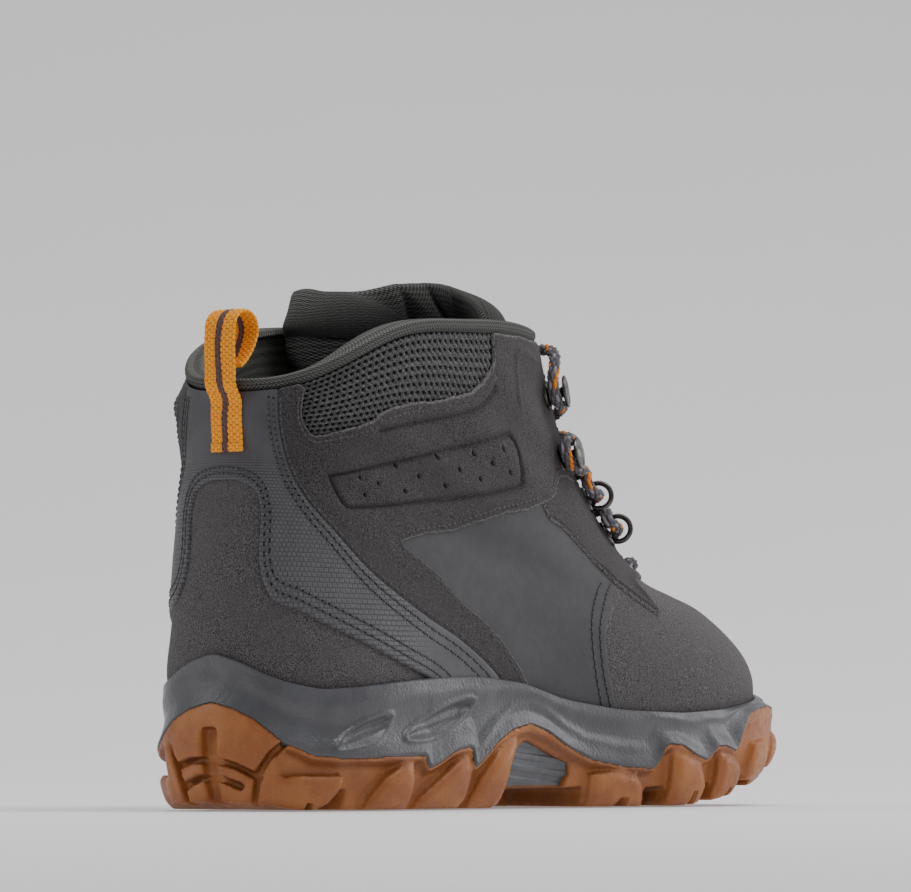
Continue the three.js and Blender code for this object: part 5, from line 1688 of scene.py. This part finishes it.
def add_lace():
    """The lace is one braided tube from aglet to aglet."""
    line = through(lace_points(), 0.42)
    sides, ups = carried_frame(line)
    along = arc_length(line)
    count = 40
    turn = np.arange(count) * 2 * math.pi / count
    s, a = np.meshgrid(along, turn, indexing="ij")
    one, two = 6 * a + 2 * math.pi * s / 4.6, 6 * a - 2 * math.pi * s / 4.6
    plait = np.abs(np.cos(one / 2) * np.cos(two / 2)) ** 0.8
    i, j = np.round(one / (2 * math.pi)), np.round(two / (2 * math.pi))
    step = (i - j).astype(int)
    strand = j.astype(int) % 6
    fleck = (strand % 3 == 0) & (step % 9 < 4)
    pale = (strand + 2 * (step % 2)) % 4 == 1
    radius = LACE_RADIUS - 0.5 + 0.62 * plait
    across, up = radius * np.cos(a), radius * np.sin(a)
    points = line[:, None] + sides[:, None] * across[..., None] + ups[:, None] * up[..., None]
    points = np.concatenate([points.reshape(-1, 3), line[:1], line[-1:]])
    # The last value is painted shade between the plaits.
    values = {"fleck": fleck, "pale": pale, "valley_shade": 1 - plait}
    values = {k: np.concatenate([v.astype(float).ravel(), [0, 0]]) for k, v in values.items()}
    lace = mesh_object("braided_lace", points, ring_faces(len(line), count), "boot", LACE,
                       ["lace"], attributes=values)
    aglets = [add_aglet("tip_lateral", line[0], unit(line[0] - line[3]), "aglet_lateral"),
              add_aglet("tip_medial", line[-1], unit(line[-1] - line[-4]), "aglet_medial")]


def add_aglet(name, tip, away, node):
    profile = [(0, -1.0), (1.5, -0.9), (1.75, -0.4), (1.72, 3), (1.68, 9), (1.7, 15), (1.62, 17.3),
               (1.2, 17.9), (0, 18.0)]
    points, faces = turned(profile, 32)
    side = unit(np.cross(away, (0.0, 0.3, 1.0)))
    points = set_on(points, tip + away * 0.5, away, side, np.cross(away, side))
    return mesh_object(name, points, faces, "boot", AGLET, [node], sharp=40)


# ---- parts of the CAD model that stay, out of sight inside the upper ----------------------------------
def dress_cad_parts():
    for name in ("lasting_board", "heel_counter", "toe_puff"):
        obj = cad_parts[name]
        obj.data.materials.clear()
        obj.data.materials.append(BOARD)


# ---- studio --------------------------------------------------------------------------------------
LIT_POINT = Vector((0, 0, 0.09))


def add_stage():
    """A pale floor that curves up into the backdrop behind the boot."""
    near, far, tall, bend = -2.6, 3.6, 3.4, 3.1
    profile = [(near, 0), (far - bend, 0)]
    profile += [(far - bend + bend * math.sin(a), bend - bend * math.cos(a))
                for a in np.linspace(0.1, math.pi / 2, 16)]
    profile.append((far, tall))
    ahead = np.array([math.cos(TURN), math.sin(TURN)])
    side = np.array([-ahead[1], ahead[0]])
    points = [(*(ahead * run + side * wide), high - 0.0005) for run, high in profile for wide in (-4.5, 4.5)]
    faces = [(2 * i, 2 * i + 1, 2 * i + 3, 2 * i + 2) for i in range(len(profile) - 1)]
    mesh = bpy.data.meshes.new("backdrop")
    mesh.from_pydata(points, [], faces)
    mesh.shade_smooth()
    backdrop = bpy.data.objects.new("backdrop", mesh)
    bpy.context.scene.collection.objects.link(backdrop)
    f = Finish("backdrop", 0.7, Specular_IOR_Level=0.2)
    f.colour(f.mix(f.ramp(f.noise(400, 2), 0.3, 0.7), tint(214, 213, 215), tint(216, 215, 217)))
    f.shader.inputs["Emission Color"].default_value = (1, 1, 1, 1)
    f.shader.inputs["Emission Strength"].default_value = 0.24
    mesh.materials.append(f.material)


def add_light(name, size, power, along, sideways, high, tall=None):
    """An area light, placed along the camera's view, to its right, and above the floor."""
    ahead = Vector((math.cos(TURN), math.sin(TURN), 0))
    right = Vector((math.sin(TURN), -math.cos(TURN), 0))
    data = bpy.data.lights.new(name, "AREA")
    data.energy = power
    data.size = size
    if tall:
        data.shape = "RECTANGLE"
        data.size_y = tall
    light = bpy.data.objects.new(name, data)
    bpy.context.scene.collection.objects.link(light)
    light.location = ahead * along + right * sideways + Vector((0, 0, high))
    light.rotation_euler = (LIT_POINT - light.location).to_track_quat("-Z", "Y").to_euler()


def add_world():
    world = bpy.data.worlds.new("studio")
    world.use_nodes = True
    world.node_tree.nodes["Background"].inputs["Color"].default_value = (0.95, 0.96, 1.0, 1)
    world.node_tree.nodes["Background"].inputs["Strength"].default_value = 0.4
    bpy.context.scene.world = world


def add_studio():
    add_stage()
    add_world()
    add_light("key", 1.0, 21, -0.3, 0.9, 1.9)
    add_light("side", 0.8, 13, 0.8, 1.8, 0.7, tall=1.4)
    add_light("left", 0.9, 8, -0.3, -1.8, 1.0, tall=1.4)
    add_light("top", 1.4, 19, 0.5, -0.1, 2.3)


add_camera()
add_lace()
dress_cad_parts()
add_upper()
add_stitches()
add_outsole()
add_midsole()
add_arch_plate()
add_binding()
add_lining()
add_footbed()
add_tongue()
add_tab()
add_hardware()
add_studio()
